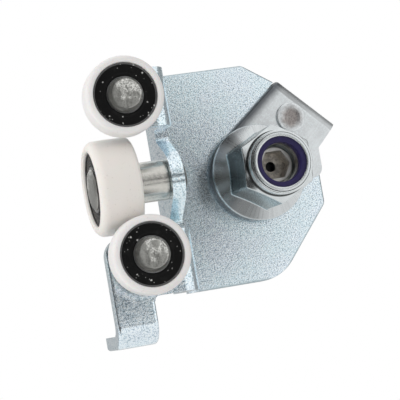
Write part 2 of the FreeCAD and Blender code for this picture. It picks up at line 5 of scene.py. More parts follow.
import bmesh
import bpy
import numpy as np
from mathutils import Matrix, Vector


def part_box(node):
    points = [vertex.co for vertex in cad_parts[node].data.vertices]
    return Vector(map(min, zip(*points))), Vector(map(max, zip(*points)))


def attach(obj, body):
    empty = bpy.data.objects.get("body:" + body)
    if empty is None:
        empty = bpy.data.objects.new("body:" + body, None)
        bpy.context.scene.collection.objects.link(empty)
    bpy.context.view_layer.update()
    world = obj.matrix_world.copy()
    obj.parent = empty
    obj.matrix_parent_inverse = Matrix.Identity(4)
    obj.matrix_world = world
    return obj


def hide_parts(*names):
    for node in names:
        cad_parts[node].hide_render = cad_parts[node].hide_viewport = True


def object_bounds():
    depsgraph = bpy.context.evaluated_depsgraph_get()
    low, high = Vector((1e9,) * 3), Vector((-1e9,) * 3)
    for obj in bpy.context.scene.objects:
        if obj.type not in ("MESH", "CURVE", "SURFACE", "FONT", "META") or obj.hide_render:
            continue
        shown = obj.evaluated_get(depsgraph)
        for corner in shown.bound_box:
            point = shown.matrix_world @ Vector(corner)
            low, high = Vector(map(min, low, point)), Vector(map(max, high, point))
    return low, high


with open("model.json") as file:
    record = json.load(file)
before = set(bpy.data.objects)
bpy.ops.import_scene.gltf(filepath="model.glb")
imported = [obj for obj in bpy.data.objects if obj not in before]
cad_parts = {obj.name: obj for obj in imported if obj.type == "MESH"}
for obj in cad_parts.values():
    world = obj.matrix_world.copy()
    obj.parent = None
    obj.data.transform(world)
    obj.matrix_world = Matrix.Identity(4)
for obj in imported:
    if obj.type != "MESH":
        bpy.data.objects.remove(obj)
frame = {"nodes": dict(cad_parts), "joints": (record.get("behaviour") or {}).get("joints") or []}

bl_info = {
    "name": "Sliding Door Roller Guide",
    "version": (1, 0, 0),
    "blender": (4, 5, 0),
    "location": "View3D > Sidebar > Roller Guide",
    "description": "Dresses a folded roller carriage of a sliding door with its finishes, and sets its stage",
    "category": "Object",
}

# Metres in a millimetre, radians in a turn, and the least length that a vector is divided by
MM = 0.001
TURN = 2 * math.pi
TINY = 1e-12
WHITE = (1.0, 1.0, 1.0)
# The way the nut and the faces of the guide rollers look
FRONT = (0.0, -1.0, 0.0)
# Points of one rounded corner, and points of a plain ring round its axis
ROUND_STEPS = 6
RING_STEPS = 128
# Edges sharper than this angle are shaded sharp, and points closer than this many metres are merged
SHARP_ANGLE = math.radians(32)
WELD = 2e-7
# Thickness of the folded sheet, in millimetres
SHEET = 4.0
# Seeds of the hammered fields: the rivet's, and the first pin's
RIVET_SEED = 5
PIN_SEED = 11
LOADED = "load_roller"
BODIES = {
    "upper_guide": "upper_guide_roller",
    "lower_guide": "lower_guide_roller",
    LOADED: "load_roller",
}
ROLLERS = tuple(BODIES)
# Corners of the flat plate's free outline, as x and z in millimetres
PLATE_CORNERS = ((-25.0, 34.6), (1.5, 34.6), (21.0, 21.2), (21.0, -12.3), (3.0, -33.4), (-25.0, -33.4))
# Lean of the lock plate's tail
TAIL_LEAN = math.radians(45)
CAD_BOX = [list(corner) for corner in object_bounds()]
# Half the floor's width, in metres, and the width of the camera's sensor, in millimetres
FLOOR_HALF = 4.0
SENSOR = 36.0
# Soft lights: name, setting that holds the power, place and width in metres
LAMPS = (
    ("key_light", "key_power", (-0.95, -0.30, 0.40), 0.8),
    ("fill_light", "fill_power", (0.50, -0.80, 0.30), 0.7),
    ("top_light", "top_power", (0.10, 0.25, 1.0), 0.9),
)
# Screens that only reflections show: name, low and high corner in metres, setting that holds the brightness
SCREENS = (
    ("screen_front", (-1.40, -0.55, -0.045), (0.08, -0.55, 0.22), "screen_shade"),
    ("screen_middle", (0.08, -0.55, -0.012), (0.155, -0.55, 0.092), "screen_shade"),
    ("screen_upper", (-0.30, -0.55, 0.22), (0.08, -0.55, 0.36), "screen_shade"),
    ("screen_left", (-0.85, -1.00, -0.10), (-0.85, -0.15, 0.90), "screen_shade"),
    ("screen_right", (0.50, -0.12, -0.10), (0.50, 0.55, 0.60), "side_shade"),
    ("screen_back", (-0.70, 0.60, -0.10), (0.45, 0.60, 0.28), "back_shade"),
    ("screen_back_floor", (-0.70, 0.10, -0.10), (0.45, 0.60, -0.10), "back_shade"),
    ("screen_back_left", (-0.85, -0.12, -0.10), (-0.85, 0.55, 0.30), "back_shade"),
    ("screen_top", (-1.20, -0.45, 0.85), (-0.15, 0.50, 0.85), "screen_shade"),
    ("screen_floor", (-1.40, -0.54, -0.10), (-0.09, -0.09, -0.10), "screen_shade"),
    ("screen_front_floor", (-0.09, -0.40, -0.10), (0.10, -0.25, -0.10), "screen_shade"),
)


def length(name, description, millimetres):
    """Length property, with its default given in millimetres."""
    return bpy.props.FloatProperty(
        name=name, description=description, default=millimetres * MM, unit="LENGTH", precision=5
    )


def share(name, description, default):
    """Property between 0 and 1."""
    return bpy.props.FloatProperty(
        name=name, description=description, default=default, min=0.0, max=1.0, subtype="FACTOR"
    )


def colour(name, description, default):
    """Linear colour property."""
    return bpy.props.FloatVectorProperty(
        name=name, description=description, default=default, size=3, min=0.0, max=1.0, subtype="COLOR"
    )


def angle(name, description, degrees):
    """Angle property, with its default given in degrees."""
    return bpy.props.FloatProperty(
        name=name, description=description, default=math.radians(degrees), unit="ROTATION"
    )


def power(name, description, watts):
    """Property for the power of a lamp."""
    return bpy.props.FloatProperty(name=name, description=description, default=watts, min=0.0, unit="POWER")


class SheetSettings(bpy.types.PropertyGroup):
    """Finish of the folded carrier and the lock plate."""

    zinc: colour("Zinc", "Body colour of the plated sheet", (0.765, 0.92, 0.98))
    frost: colour("Frost", "Pale crystals in the plating", (0.92, 0.985, 1.0))
    frost_share: share("Frost share", "How strongly the pale crystals show", 0.95)
    dusk: colour("Dusk", "Dark pits between the crystals", (0.295, 0.40, 0.46))
    dusk_share: share("Dusk share", "How strongly the dark pits show", 0.75)
    bloom: colour("Bloom", "Faint lavender of the thinner plating", (0.795, 0.885, 0.97))
    # Painted shade in a band along the flat plate's sheared edge: its width and its strength
    edge_width: length("Edge width", "Width of the duller band along the plate's sheared edge", 0.9)
    edge_share: share("Edge share", "How strongly the sheared edge is dulled", 0.75)
    crystal: length("Crystal", "Width of one crystal of the plating", 0.42)
    lock_zinc: colour("Lock plate zinc", "Body colour of the smoother lock plate", (0.87, 0.905, 0.92))
    # Painted shade along the lock plate's tapered side and round its lobe, also on the nut's flange beside
    # the tail
    lock_dull: colour("Lock plate dull", "Worn plating along the lock plate's side", (0.12, 0.13, 0.145))
    # Painted shade over the lock plate's bent end
    lock_grey: colour("Lock plate grey", "Stretched plating over the bent end", (0.34, 0.35, 0.355))
    tail_end: length("Tail end", "Distance of the lock plate's bent end from the stud", 28.4)
    tail_side: length("Tail side", "Distance of the tapered side from the tail's line through the stud", 11.6)
    tail_taper: share("Tail taper", "How much the lock plate widens for each length towards the stud", 0.106)
    # Width of the painted shade band along the lock plate's side
    dull_width: length("Dull width", "Width of the worn band along the lock plate's side", 4.0)
    bend_width: length("Bend width", "Width of the grey band along the lock plate's bent end", 3.0)
    lobe_radius: length("Lobe radius", "Radius of the lock plate's lobe under the nut", 14.6)
    rivet_centre: colour("Rivet centre", "Dulled middle of the rivet's head", (0.36, 0.31, 0.29))


class RollerSettings(bpy.types.PropertyGroup):
    """Shapes and finishes of the rollers."""

    tyre_round: length("Tyre round", "Radius of the tyre's outer edges", 1.3)
    load_round: length("Load tyre round", "Radius of the load tyre's outer edge", 2.4)
    tyre_crown: length("Tyre crown", "How far the middle of the tread stands proud", 0.12)
    lip_overlap: length("Lip overlap", "Step from the seal's edge to the tyre's lip", 0.2)
    load_overlap: length("Load lip overlap", "Step from the seal's edge to the load tyre's lip", 0.0)
    lip_round: length("Lip round", "Radius of the edge of a tyre's mouth", 0.3)
    load_lip_round: length("Load lip round", "Radius of the edge of the load tyre's mouth", 0.9)
    load_head_drop: length("Load head drop", "How far the load roller's head lies under the pin's end", 1.1)
    head_inset: length("Guide head inset", "Step from the bearing's inner ring to a guide head's edge", 0.3)
    load_head_inset: length("Load head inset", "Step from the inner ring to the load roller's head", 0.8)
    head_land: length("Head land", "Height of the straight rim of a peened head", 0.6)
    head_slope: length("Head slope", "Width of the cone round a peened head", 0.8)
    dent: length("Dent", "Depth of the hammer marks in the peened heads", 0.16)
    tyre_white: colour("Tyre", "Moulded white of the guide tyres", (0.87, 0.85, 0.835))
    load_white: colour("Load tyre", "Creamier white of the load tyre", (0.86, 0.82, 0.775))
    tyre_speck: colour("Tyre specks", "Handling marks on the tyres", (0.42, 0.38, 0.35))
    seal_black: colour("Seal", "Rubber of the seals", (0.011, 0.011, 0.011))
    seal_smear: colour("Seal smears", "Faint grey smears on the seals", (0.03, 0.03, 0.029))
    seal_rim: colour("Seal rim", "Greyer outer edge of the seals", (0.13, 0.13, 0.13))
    dust: colour("Dust", "Specks of dust on the seals", (0.62, 0.62, 0.60))
    collar_zinc: colour("Collar", "Plated steel of the pins", (0.70, 0.69, 0.645))
    head_steel: colour("Head", "Peened heads of the pins", (0.44, 0.44, 0.415))
    # Bright hammer marks, gathered on one side of each head as a painted highlight
    head_bright: colour("Hammer marks", "Bright hammer marks of the heads", (0.92, 0.92, 0.88))
    head_dark: colour("Head pits", "Dark pits of the heads", (0.16, 0.16, 0.15))
    ring_steel: colour("Bearing rings", "Ground steel of the bearings", (0.38, 0.38, 0.38))
    ring_oil: colour("Oiled rings", "Bearing steel under a film of oil", (0.26, 0.26, 0.26))
    ball_steel: colour("Balls", "Polished steel of the balls", (0.72, 0.72, 0.73))
    ball_oil: colour("Oiled balls", "Balls under a film of oil", (0.62, 0.62, 0.63))
    cage_cream: colour("Cages", "Natural nylon of the cages", (0.66, 0.60, 0.46))
    cage_grain: colour("Cage grain", "Darker grain of the cages", (0.55, 0.49, 0.36))


class NutSettings(bpy.types.PropertyGroup):
    """Shapes and finishes of the flange nut, its insert and the stud."""

    flats: length("Across flats", "Width of the nut's hexagon", 21.0)
    hex_height: length("Hexagon height", "Height of the hexagon over the flange's seat", 22.0)
    flange_rim: length("Flange rim", "Height of the flange's rim", 1.6)
    flange_rise: length("Flange rise", "Height where the flange's cone meets the flats", 5.0)
    crown_radius: length("Crown radius", "Radius of the round crown", 9.65)
    crown_lip: length("Crown lip", "Thickness of the lip rolled over the insert", 0.7)
    mouth_radius: length("Mouth radius", "Radius of the crown's mouth", 7.6)
    insert_bore: length("Insert bore", "Inside radius of the locking ring", 5.9)
    thread_radius: length("Thread radius", "Outside radius of the stud's thread", 6.0)
    thread_pitch: length("Thread pitch", "Distance between two turns of the thread", 1.75)
    thread_depth: length("Thread depth", "Depth of the thread", 0.55)
    nut_turn: angle("Nut turn", "How far the tightened nut is turned", 28.0)
    chamfer: angle("Chamfer", "Slope of the cone that cuts the hexagon's corners", 30.0)
    socket_flats: length("Socket flats", "Width of the stud's hexagon socket", 8.0)
    socket_depth: length("Socket depth", "Depth of the stud's hexagon socket", 5.0)
    drill_radius: length("Drill radius", "Radius of the drilled hole in the socket's floor", 1.5)
    drill_depth: length("Drill depth", "Depth of the drilled hole in the socket's floor", 3.0)
    pivot_radius: length("Pivot radius", "Radius of the plain pivot behind the carrier", 8.0)
    nut_zinc: colour("Nut", "Bright plating of the nut", (0.74, 0.78, 0.79))
    # Painted reflection: the hexagon's flats darker teal
    flat_teal: colour("Flats", "Darker passivated flats of the nut", (0.40, 0.475, 0.49))
    cone_grey: colour("Flange", "Forged grey of the nut's flange", (0.70, 0.73, 0.74))
    insert_indigo: colour("Insert", "Nylon of the locking ring", (0.022, 0.016, 0.085))
    stud_steel: colour("Stud", "Turned steel of the stud", (0.60, 0.60, 0.59))
    socket_brown: colour("Socket", "Dry brownish steel in the stud's socket", (0.74, 0.69, 0.61))
    # Painted highlight on the stud's end, and the colour of the pale specks in its socket
    end_pale: colour("Stud end", "Bright rubbed end of the stud", (0.88, 0.87, 0.84))


class StageSettings(bpy.types.PropertyGroup):
    """Camera, lights and floor."""

    camera_place: bpy.props.FloatVectorProperty(
        name="Camera place",
        description="Where the camera stands, from the pivot's seat",
        default=(-0.1456, -0.4856, -0.0413),
        size=3,
        subtype="XYZ",
        unit="LENGTH",
    )
    yaw: angle("Yaw", "Turn of the view to the right about the upright", 14.83)
    pitch: angle("Pitch", "Tilt of the view", -4.15)
    roll: angle("Roll", "Lean of the object in the picture", -9.78)
    lens: bpy.props.FloatProperty(
        name="Lens",
        description="Focal length on a 36 mm sensor, in millimetres",
        default=144.0,
        min=1.0,
        unit="CAMERA",
    )
    floor_drop: length("Floor drop", "How far the floor lies under the object", 60.0)
    floor_white: colour("Floor", "Pale floor", (0.92, 0.92, 0.92))
    shadow_spread: length("Shadow spread", "How far from the pivot the floor shows a shadow", 300.0)
    shadow_share: share("Shadow share", "How much of the floor's own shading shows under the object", 0.6)
    ambient: share("Ambient", "Even light from all round", 0.55)
    screen_shade: share("Screen shade", "Brightness of the dark screens in reflections", 0.03)
    side_shade: share("Side shade", "Brightness of the screen at the right in reflections", 0.3)
    back_shade: share("Back shade", "Brightness of the screens behind in reflections", 0.48)
    key_power: power("Key", "Power of the main soft light", 5.0)
    fill_power: power("Fill", "Power of the soft light from the right", 0.8)
    top_power: power("Top", "Power of the soft light from above", 2.5)


class Signal:
    """One socket of a node tree. Arithmetic on it adds Math nodes, and node() adds any other."""

    def __init__(self, tree, socket=None):
        self.tree = tree
        self.socket = socket

    def node(self, kind, settings, inputs, output=0):
        """Add a node: its settings first, then each input as a plain value or a link from another signal."""
        made = self.tree.nodes.new(kind)
        for key, value in settings.items():
            setattr(made, key, value)
        for key, value in inputs.items():
            if isinstance(value, Signal):
                self.tree.links.new(value.socket, made.inputs[key])
            else:
                made.inputs[key].default_value = value
        return Signal(self.tree, made.outputs[output] if output is not None else None)

    def maths(self, operation, first, second):
        """Math node on two numbers or signals."""
        return self.node("ShaderNodeMath", {"operation": operation}, {0: first, 1: second})

    def __add__(self, other):
        return self.maths("ADD", self, other)

    def __radd__(self, other):
        return self.maths("ADD", other, self)

    def __sub__(self, other):
        return self.maths("SUBTRACT", self, other)

    def __rsub__(self, other):
        return self.maths("SUBTRACT", other, self)

    def __mul__(self, other):
        return self.maths("MULTIPLY", self, other)

    def __rmul__(self, other):
        return self.maths("MULTIPLY", other, self)

    def above(self, level, softness):
        """0 below the level, 1 above it, with a smooth step as wide as the softness between."""
        limits = {"Value": self, "From Min": level - softness / 2, "From Max": level + softness / 2}
        return self.node("ShaderNodeMapRange", {"interpolation_type": "SMOOTHSTEP"}, limits)

    def noise(self, size, detail=3.0, roughness=0.6):
        """Cloudy pattern whose patches are about as wide as the size, in metres."""
        inputs = {"Vector": self, "Scale": 1 / size, "Detail": detail, "Roughness": roughness}
        return self.node("ShaderNodeTexNoise", {}, inputs)

    def cells(self, size, output="Distance"):
        """Cell pattern: the distance to the nearest seed, or a random colour for each cell."""
        inputs = {"Vector": self, "Scale": 1 / size, "Randomness": 1.0}
        return self.node("ShaderNodeTexVoronoi", {}, inputs, output)

    def specks(self, size, radius, rarity, ragged):
        """Scattered ragged dots: one at the seed of each cell whose random number is over the rarity."""
        chance = self.node("ShaderNodeSeparateColor", {}, {"Color": self.cells(size, "Color")})
        return (1 - (self.cells(size) + ragged * 0.3).above(radius, 0.08)) * chance.above(rarity, 0.02)

    def mix(self, first, second):
        """Colour between the first, where this signal is 0, and the second, where it is 1."""
        first, second = (end if isinstance(end, Signal) else rgba(end) for end in (first, second))
        return self.node("ShaderNodeMix", {"data_type": "RGBA"}, {0: self, 6: first, 7: second}, 2)

    def vary(self, tint, least):
        """Colour that runs from the least share of a tint, where this signal is 0, to all of it."""
        return self.mix(dim(tint, least), tint)

    def bump(self, depth, strength):
        """Normal of a surface raised by this signal, times the depth in metres."""
        return self.node("ShaderNodeBump", {}, {"Height": self, "Distance": depth, "Strength": strength})

    def mask(self, name):
        """Number that the piece's own attribute gives."""
        return self.node("ShaderNodeAttribute", {"attribute_name": name}, {}, "Fac")

    def part(self, output):
        """One coordinate of a vector."""
        return self.node("ShaderNodeSeparateXYZ", {}, {"Vector": self}, output)

    def mapped(self, setting, x, y, z):
        """Vector scaled or turned by three numbers, by the name of a Mapping node's socket."""
        return self.node("ShaderNodeMapping", {}, {"Vector": self, setting: (x, y, z)})

    def size(self):
        """Length of a vector."""
        return self.node("ShaderNodeVectorMath", {"operation": "LENGTH"}, {0: self}, "Value")


def rgba(tint):
    """Colour as the four numbers of a colour socket."""
    return (*tint, 1.0)


def dim(tint, times):
    """Colour made darker, or lighter, by a factor."""
    return [part * times for part in tint]


def blank_tree(owner):
    """Empty node tree of a new material or world, as the signal to start from."""
    owner.use_nodes = True
    owner.node_tree.nodes.clear()
    return Signal(owner.node_tree)


def material_of(name, shade):
    """New material: shade adds its nodes to the empty tree and returns the surface."""
    material = bpy.data.materials.new(name)
    begin = blank_tree(material)
    begin.node("ShaderNodeOutputMaterial", {}, {"Surface": shade(begin)}, None)
    return material


def finish(paint):
    """Turn a paint function into one that makes its material.

    The paint function takes object coordinates and settings, and returns values for the shader's sockets.
    """

    @functools.wraps(paint)
    def make(*looks):
        def shade(begin):
            place = begin.node("ShaderNodeTexCoord", {}, {}, "Object")
            return begin.node("ShaderNodeBsdfPrincipled", {}, paint(place, *looks))

        return material_of(paint.__name__, shade)

    return make


def plate_inset(place):
    """Distance inwards from the nearest side of the flat plate's outline, for points on the plate."""
    inset = None
    for (x, z), (next_x, next_z) in zip(PLATE_CORNERS, PLATE_CORNERS[1:]):
        run = math.hypot(next_x - x, next_z - z)
        across, up = (z - next_z) / run, (next_x - x) / run
        side = (x * across + z * up) * MM - (place.part("X") * across + place.part("Z") * up)
        inset = side if inset is None else place.maths("MINIMUM", inset, side)
    return inset


def along_tail(place):
    """Object coordinates turned so that X runs along the lock plate's tail and Z across it."""
    return place.mapped("Rotation", 0.0, TAIL_LEAN, 0.0)


def beside_tail(turned, uneven, look):
    """1 in the painted shade band along the lock plate's tapered side, with an uneven inner edge."""
    side = look.tail_side + look.tail_end * look.tail_taper
    inset = side - turned.part("X") * look.tail_taper - turned.part("Z") + (uneven - 0.5) * MM
    return 1 - inset.above(look.dull_width * 0.55, look.dull_width * 0.8)


@finish
def zinc_sheet(place, look):
    """Plated sheet: blue-grey zinc with pale crystals, dark pits and soft clouds, and painted shade in a band
    along the sheared edge.
    """
    fine = place.noise(look.crystal, roughness=0.65)
    coarse = place.noise(look.crystal * 3.2, detail=2.0)
    cloud = place.noise(11 * MM, roughness=0.55)
    grain = fine * 0.85 + coarse * 0.15
    frost = grain.above(0.54, 0.05) * look.frost_share
    pits = (1 - grain.above(0.445, 0.05)) * look.dusk_share
    tint = cloud.above(0.5, 0.4).mix(look.bloom, look.zinc)
    tint = frost.mix(tint, look.frost)
    tint = pits.mix(tint, look.dusk)
    # Painted shade: a darker band along the flat plate's sheared edge
    on_plate = place.part("X").above(PLATE_CORNERS[0][0] * MM, 2 * MM)
    inside = plate_inset(place).above(look.edge_width * 0.6, look.edge_width * 0.8)
    edge = (1 - inside) * on_plate * look.edge_share
    return {
        "Base Color": edge.mix(tint, dim(look.zinc, 0.42)),
        "Metallic": 0.9,
        "Roughness": 0.10 + coarse * 0.09 + cloud * 0.06,
        "Normal": (fine + coarse * 0.6).bump(0.04 * MM, 0.6),
    }


@finish
def zinc_lock_plate(place, look):
    """Lock plate: satin zinc with faint drawing lines, with painted shade along its side and round its lobe,
    and a grey painted shade over its bend.
    """
    fine = place.noise(0.4 * MM)
    cloud = place.noise(7 * MM)
    turned = along_tail(place)
    along = turned.part("X")
    drawn = turned.mapped("Scale", 0.08, 1.0, 1.0).noise(0.5 * MM, roughness=0.5)
    radius = place.mapped("Scale", 1.0, 0.0, 1.0).size()
    # Painted shade on the wall of the lobe under the nut, joined to the painted shade along the tapered side
    rim = radius.above(look.lobe_radius - 1.2 * MM, 0.8 * MM) * (1 - along.above(4 * MM, 6 * MM))
    worn = place.maths("MAXIMUM", beside_tail(turned, cloud, look), rim)
    # Painted shade: a grey band over the bent end, stronger towards one side
    bent = (along + (cloud - 0.5) * MM).above(look.tail_end - look.bend_width, 0.6 * MM)
    bent = bent * (0.5 + turned.part("Z").above(0.0, 12 * MM) * 0.35)
    tint = (cloud * 0.7 + drawn * 0.3).above(0.5, 0.3).vary(look.lock_zinc, 0.82)
    tint = (fine.above(0.56, 0.14) * 0.6).mix(tint, look.frost)
    tint = bent.mix(tint, look.lock_grey)
    return {
        "Base Color": (worn * 0.92).mix(tint, look.lock_dull),
        "Metallic": 0.92,
        "Roughness": 0.33 + cloud * 0.14,
        "Normal": (fine * 0.6 + drawn).bump(0.04 * MM, 0.4),
    }


@finish
def bright_nut(place, look, sheet):
    """Nut: bright turned crown, flats darkened to teal as a painted reflection, a forged flange, and painted
    shade in creases, on the flange's side and upper left, and beside the lock plate's tail.
    """
    bloom = place.noise(4.5 * MM)
    marks = place.noise(0.6 * MM, detail=4.0, roughness=0.7)
    facing = place.mapped("Scale", 1.0, 0.0, 1.0)
    around = place.node("ShaderNodeVectorMath", {"operation": "NORMALIZE"}, {0: facing})
    streaks = around.noise(0.07, detail=4.0, roughness=0.7)
    flat = place.mask("flat") * 0.9
    cone = place.mask("cone")
    # Painted reflection on the flats: darker teal, and lighter on the lower flats
    low = (0 - around.part("Z")).above(0.72, 0.3) * 0.8
    teal = low.mix(bloom.above(0.56, 0.2).vary(look.flat_teal, 0.8), dim(look.flat_teal, 1.3))
    # Painted shade on the flange's upper left, lighter towards its lower right
    flange_painted_light = (around.part("X") + around.part("Z") * 0.35 + streaks * 0.5 - 0.25).above(-0.5, 0.7)
    grey = flange_painted_light.mix(dim(look.cone_grey, 0.26), streaks.above(0.5, 0.4).vary(look.cone_grey, 0.84))
    # Painted shade on the flange beside the lock plate's tail
    worn = beside_tail(along_tail(place), bloom, sheet) * 0.8
    grey = worn.mix(grey, sheet.lock_dull)
    tint = flat.mix(bloom.above(0.52, 0.4).vary(look.nut_zinc, 0.86), teal)
    tint = (cone * 0.9).mix(tint, grey)
    return {
        # Painted shade in the crown's creases and on the flange's side wall
        "Base Color": place.mask("groove").mix(tint, dim(look.nut_zinc, 0.12)),
        "Metallic": 1.0,
        "Roughness": 0.13 + bloom * 0.10 + marks * 0.05 + cone * streaks * 0.15,
        "Normal": (marks + bloom * 0.5).bump(0.03 * MM, 0.3),
    }


@finish
def insert_nylon(place, look):
    """Locking ring: dark indigo nylon with a soft satin sheen."""
    grain = place.noise(0.8 * MM, roughness=0.5)
    return {
        "Base Color": grain.above(0.5, 0.5).vary(look.insert_indigo, 0.7),
        "Roughness": 0.34 + grain * 0.12,
        "Specular IOR Level": 0.3,
        "Normal": grain.bump(0.04 * MM, 0.3),
    }


@finish
def stud_metal(place, look):
    """Stud: turned steel with fine rings, a painted highlight on its end, a dry brown socket and painted
    shade in the drilled hole.
    """
    stain = place.noise(1.6 * MM, detail=4.0, roughness=0.65)
    specks = place.noise(0.35 * MM)
    rings = place.mapped("Scale", 0.03, 1.0, 0.03).noise(0.3 * MM, roughness=0.5)
    socket = place.mask("socket")
    # Painted highlight on the stud's end
    rubbed = place.mask("rubbed") * 0.85
    steel = rings.above(0.5, 0.4).vary(look.stud_steel, 0.85)
    brown = stain.above(0.5, 0.3).vary(look.socket_brown, 0.45)
    brown = (specks.above(0.62, 0.15) * 0.4).mix(brown, look.end_pale)
    tint = rubbed.mix(socket.mix(steel, brown), look.end_pale)
    return {
        # Painted shade in the drilled hole
        "Base Color": place.mask("deep").mix(tint, dim(look.stud_steel, 0.03)),
        "Metallic": 0.95 - socket * 0.35,
        "Roughness": 0.24 + rings * 0.1 + socket * 0.15,
        "Normal": (rings + socket * (specks + stain)).bump(0.05 * MM, 0.5),
    }


@finish
def rivet_metal(place, look):
    """Rivet: satin zinc rim and a dulled, brownish middle, told apart by the piece's own mask."""
    grain = place.noise(0.6 * MM, detail=4.0, roughness=0.65)
    blot = place.noise(1.8 * MM)
    worn = (place.mask("worn") * (0.55 + blot * 0.9)).above(0.6, 0.7)
    rim = grain.above(0.5, 0.3).vary(look.lock_zinc, 0.8)
    middle = grain.above(0.5, 0.24).vary(look.rivet_centre, 0.6)
    return {
        "Base Color": (worn * 0.85).mix(rim, middle),
        "Metallic": 0.85,
        "Roughness": 0.38 + worn * 0.12,
        "Normal": (grain + blot).bump(0.08 * MM, 0.5),
    }


@finish
def tyre_nylon(place, look):
    """Tyre: white moulded nylon with faint handling specks, creamier where the piece's mask says so."""
    cloud = place.noise(6 * MM, roughness=0.55)
    specks = place.noise(0.7 * MM)
    white = cloud.above(0.5, 0.5).vary(look.tyre_white, 0.965)
    white = place.mask("warm").mix(white, look.load_white)
    return {
        "Base Color": (specks.above(0.68, 0.12) * 0.28).mix(white, look.tyre_speck),
        "Roughness": 0.38 + cloud * 0.14,
        "Normal": specks.bump(0.03 * MM, 0.35),
        "Subsurface Weight": 0.08,
        "Subsurface Scale": 1.5 * MM,
    }


@finish
def seal_rubber(place, look):
    """Seal: smooth black rubber with a greyer rim, scattered specks of pale dust and faint grey smears."""
    ragged = place.noise(0.3 * MM, roughness=0.7)
    large = place.specks(1.9 * MM, radius=0.29, rarity=0.58, ragged=ragged)
    small = place.specks(1.0 * MM, radius=0.28, rarity=0.58, ragged=ragged)
    speck = large + small * 0.7
    smear = place.noise(3.2 * MM, detail=4.0, roughness=0.65).above(0.62, 0.25)
    rubber = (smear * 0.35).mix(look.seal_black, look.seal_smear)
    rubber = place.mask("rim").mix(rubber, look.seal_rim)
    return {
        "Base Color": (speck * 0.9).mix(rubber, look.dust),
        "Roughness": 0.24 + smear * 0.18 + speck * 0.3,
        "Specular IOR Level": 0.04,
        "Normal": (ragged * 0.4 + speck).bump(0.05 * MM, 0.35),
    }


@finish
def pin_metal(place, look):
    """Pin: yellowish plated collar, and rough grey heads with bright hammer marks where its mask says so,
    gathered to one side as a painted highlight, with painted shade on the other.
    """
    marks = place.cells(0.9 * MM)
    grain = place.noise(0.45 * MM, detail=4.0, roughness=0.7)
    blot = place.noise(3 * MM)
    peened = place.mask("peened")
    lean = place.mask("lean")
    # Painted highlight: more bright marks towards the upper right; painted shade: the head darker towards the
    # lower left
    bright = (blot + lean * 0.2).above(0.58, 0.14) * grain.above(0.48, 0.12)
    dark = (1 - grain.above(0.42, 0.12)) * 0.5
    head = lean.above(0.0, 1.2).vary(look.head_steel, 0.8)
    head = bright.mix(head, look.head_bright)
    head = dark.mix(head, look.head_dark)
    collar = blot.above(0.5, 0.5).vary(look.collar_zinc, 0.85)
    return {
        "Base Color": peened.mix(collar, head),
        "Metallic": 0.9,
        "Roughness": 0.19 + blot * 0.12 + peened * 0.17,
        "Normal": ((marks + grain) * (0.12 + peened * 0.88)).bump(0.18 * MM, 0.6),
    }


@finish
def bearing_metal(place, look):
    """Bearing rings: ground steel, slightly dulled by oil."""
    film = place.noise(2.5 * MM)
    return {
        "Base Color": film.above(0.5, 0.5).mix(look.ring_oil, look.ring_steel),
        "Metallic": 1.0,
        "Roughness": 0.24 + film * 0.12,
        "Normal": place.noise(0.3 * MM, detail=2.0, roughness=0.5).bump(0.02 * MM, 0.3),
    }


@finish
def ball_metal(place, look):
    """Balls: polished steel with a thin film of oil."""
    film = place.noise(1.8 * MM, detail=2.0, roughness=0.5)
    return {
        "Base Color": film.mix(look.ball_oil, look.ball_steel),
        "Metallic": 1.0,
        "Roughness": 0.06 + film * 0.06,
    }


@finish
def cage_nylon(place, look):
    """Cages: natural nylon with a faint moulded grain."""
    grain = place.noise(0.9 * MM, roughness=0.5)
    return {
        "Base Color": grain.mix(look.cage_grain, look.cage_cream),
        "Roughness": 0.42 + grain * 0.12,
        "Normal": grain.bump(0.04 * MM, 0.3),
    }


def unit(vectors):
    """Vectors scaled to length 1."""
    return vectors / np.maximum(np.linalg.norm(vectors, axis=-1, keepdims=True), TINY)


def ramp(values, width):
    """0 below zero, 1 above the width, and straight between."""
    return np.clip(values / width, 0.0, 1.0)


def rounded(corners, closed=False):
    """Outline through (radius, height, round) corners, as an array of (radius, height).

    At each corner an arc runs from one tangent point to the other. Its centre lies on the bisector,
    round / sin(half the corner's angle) from the corner, and its points are spaced evenly in angle.
    """
    least_angle = 1e-3
    table = np.asarray(corners, float)
    points = table[:, :2]
    before = unit(np.roll(points, 1, axis=0) - points)
    after = unit(np.roll(points, -1, axis=0) - points)
    half = np.arccos(np.clip(np.sum(before * after, axis=1), -1.0, 1.0)) / 2
    half = np.clip(half, least_angle, math.pi / 2 - least_angle)
    radius = table[:, 2].copy()
    if not closed:
        radius[[0, -1]] = 0.0
    reach = (radius / np.tan(half))[:, None]
    centre = points + unit(before + after) * (radius / np.sin(half))[:, None]
    start = points + before * reach - centre
    end = points + after * reach - centre
    turn = (math.pi - 2 * half)[:, None, None]
    step = np.linspace(0.0, 1.0, ROUND_STEPS)[None, :, None]
    swept = (np.sin((1 - step) * turn) * start[:, None] + np.sin(step * turn) * end[:, None]) / np.sin(turn)
    return (centre[:, None] + swept).reshape(-1, 2)


def resample(outline, closed, spacing):
    """Outline with points added so that no two neighbours lie further apart than the spacing."""
    ends = np.vstack([outline, outline[:1]]) if closed else outline
    along = np.concatenate([[0.0], np.cumsum(np.linalg.norm(np.diff(ends, axis=0), axis=1))])
    extra = np.arange(0.0, along[-1], spacing)
    places = np.unique(np.concatenate([along, extra]).round(6))
    if closed:
        places = places[:-1]
    return np.stack([np.interp(places, along, ends[:, 0]), np.interp(places, along, ends[:, 1])], axis=1)


def placed(name, data):
    """New object that holds the data, in the scene."""
    thing = bpy.data.objects.new(name, data)
    bpy.context.scene.collection.objects.link(thing)
    return thing


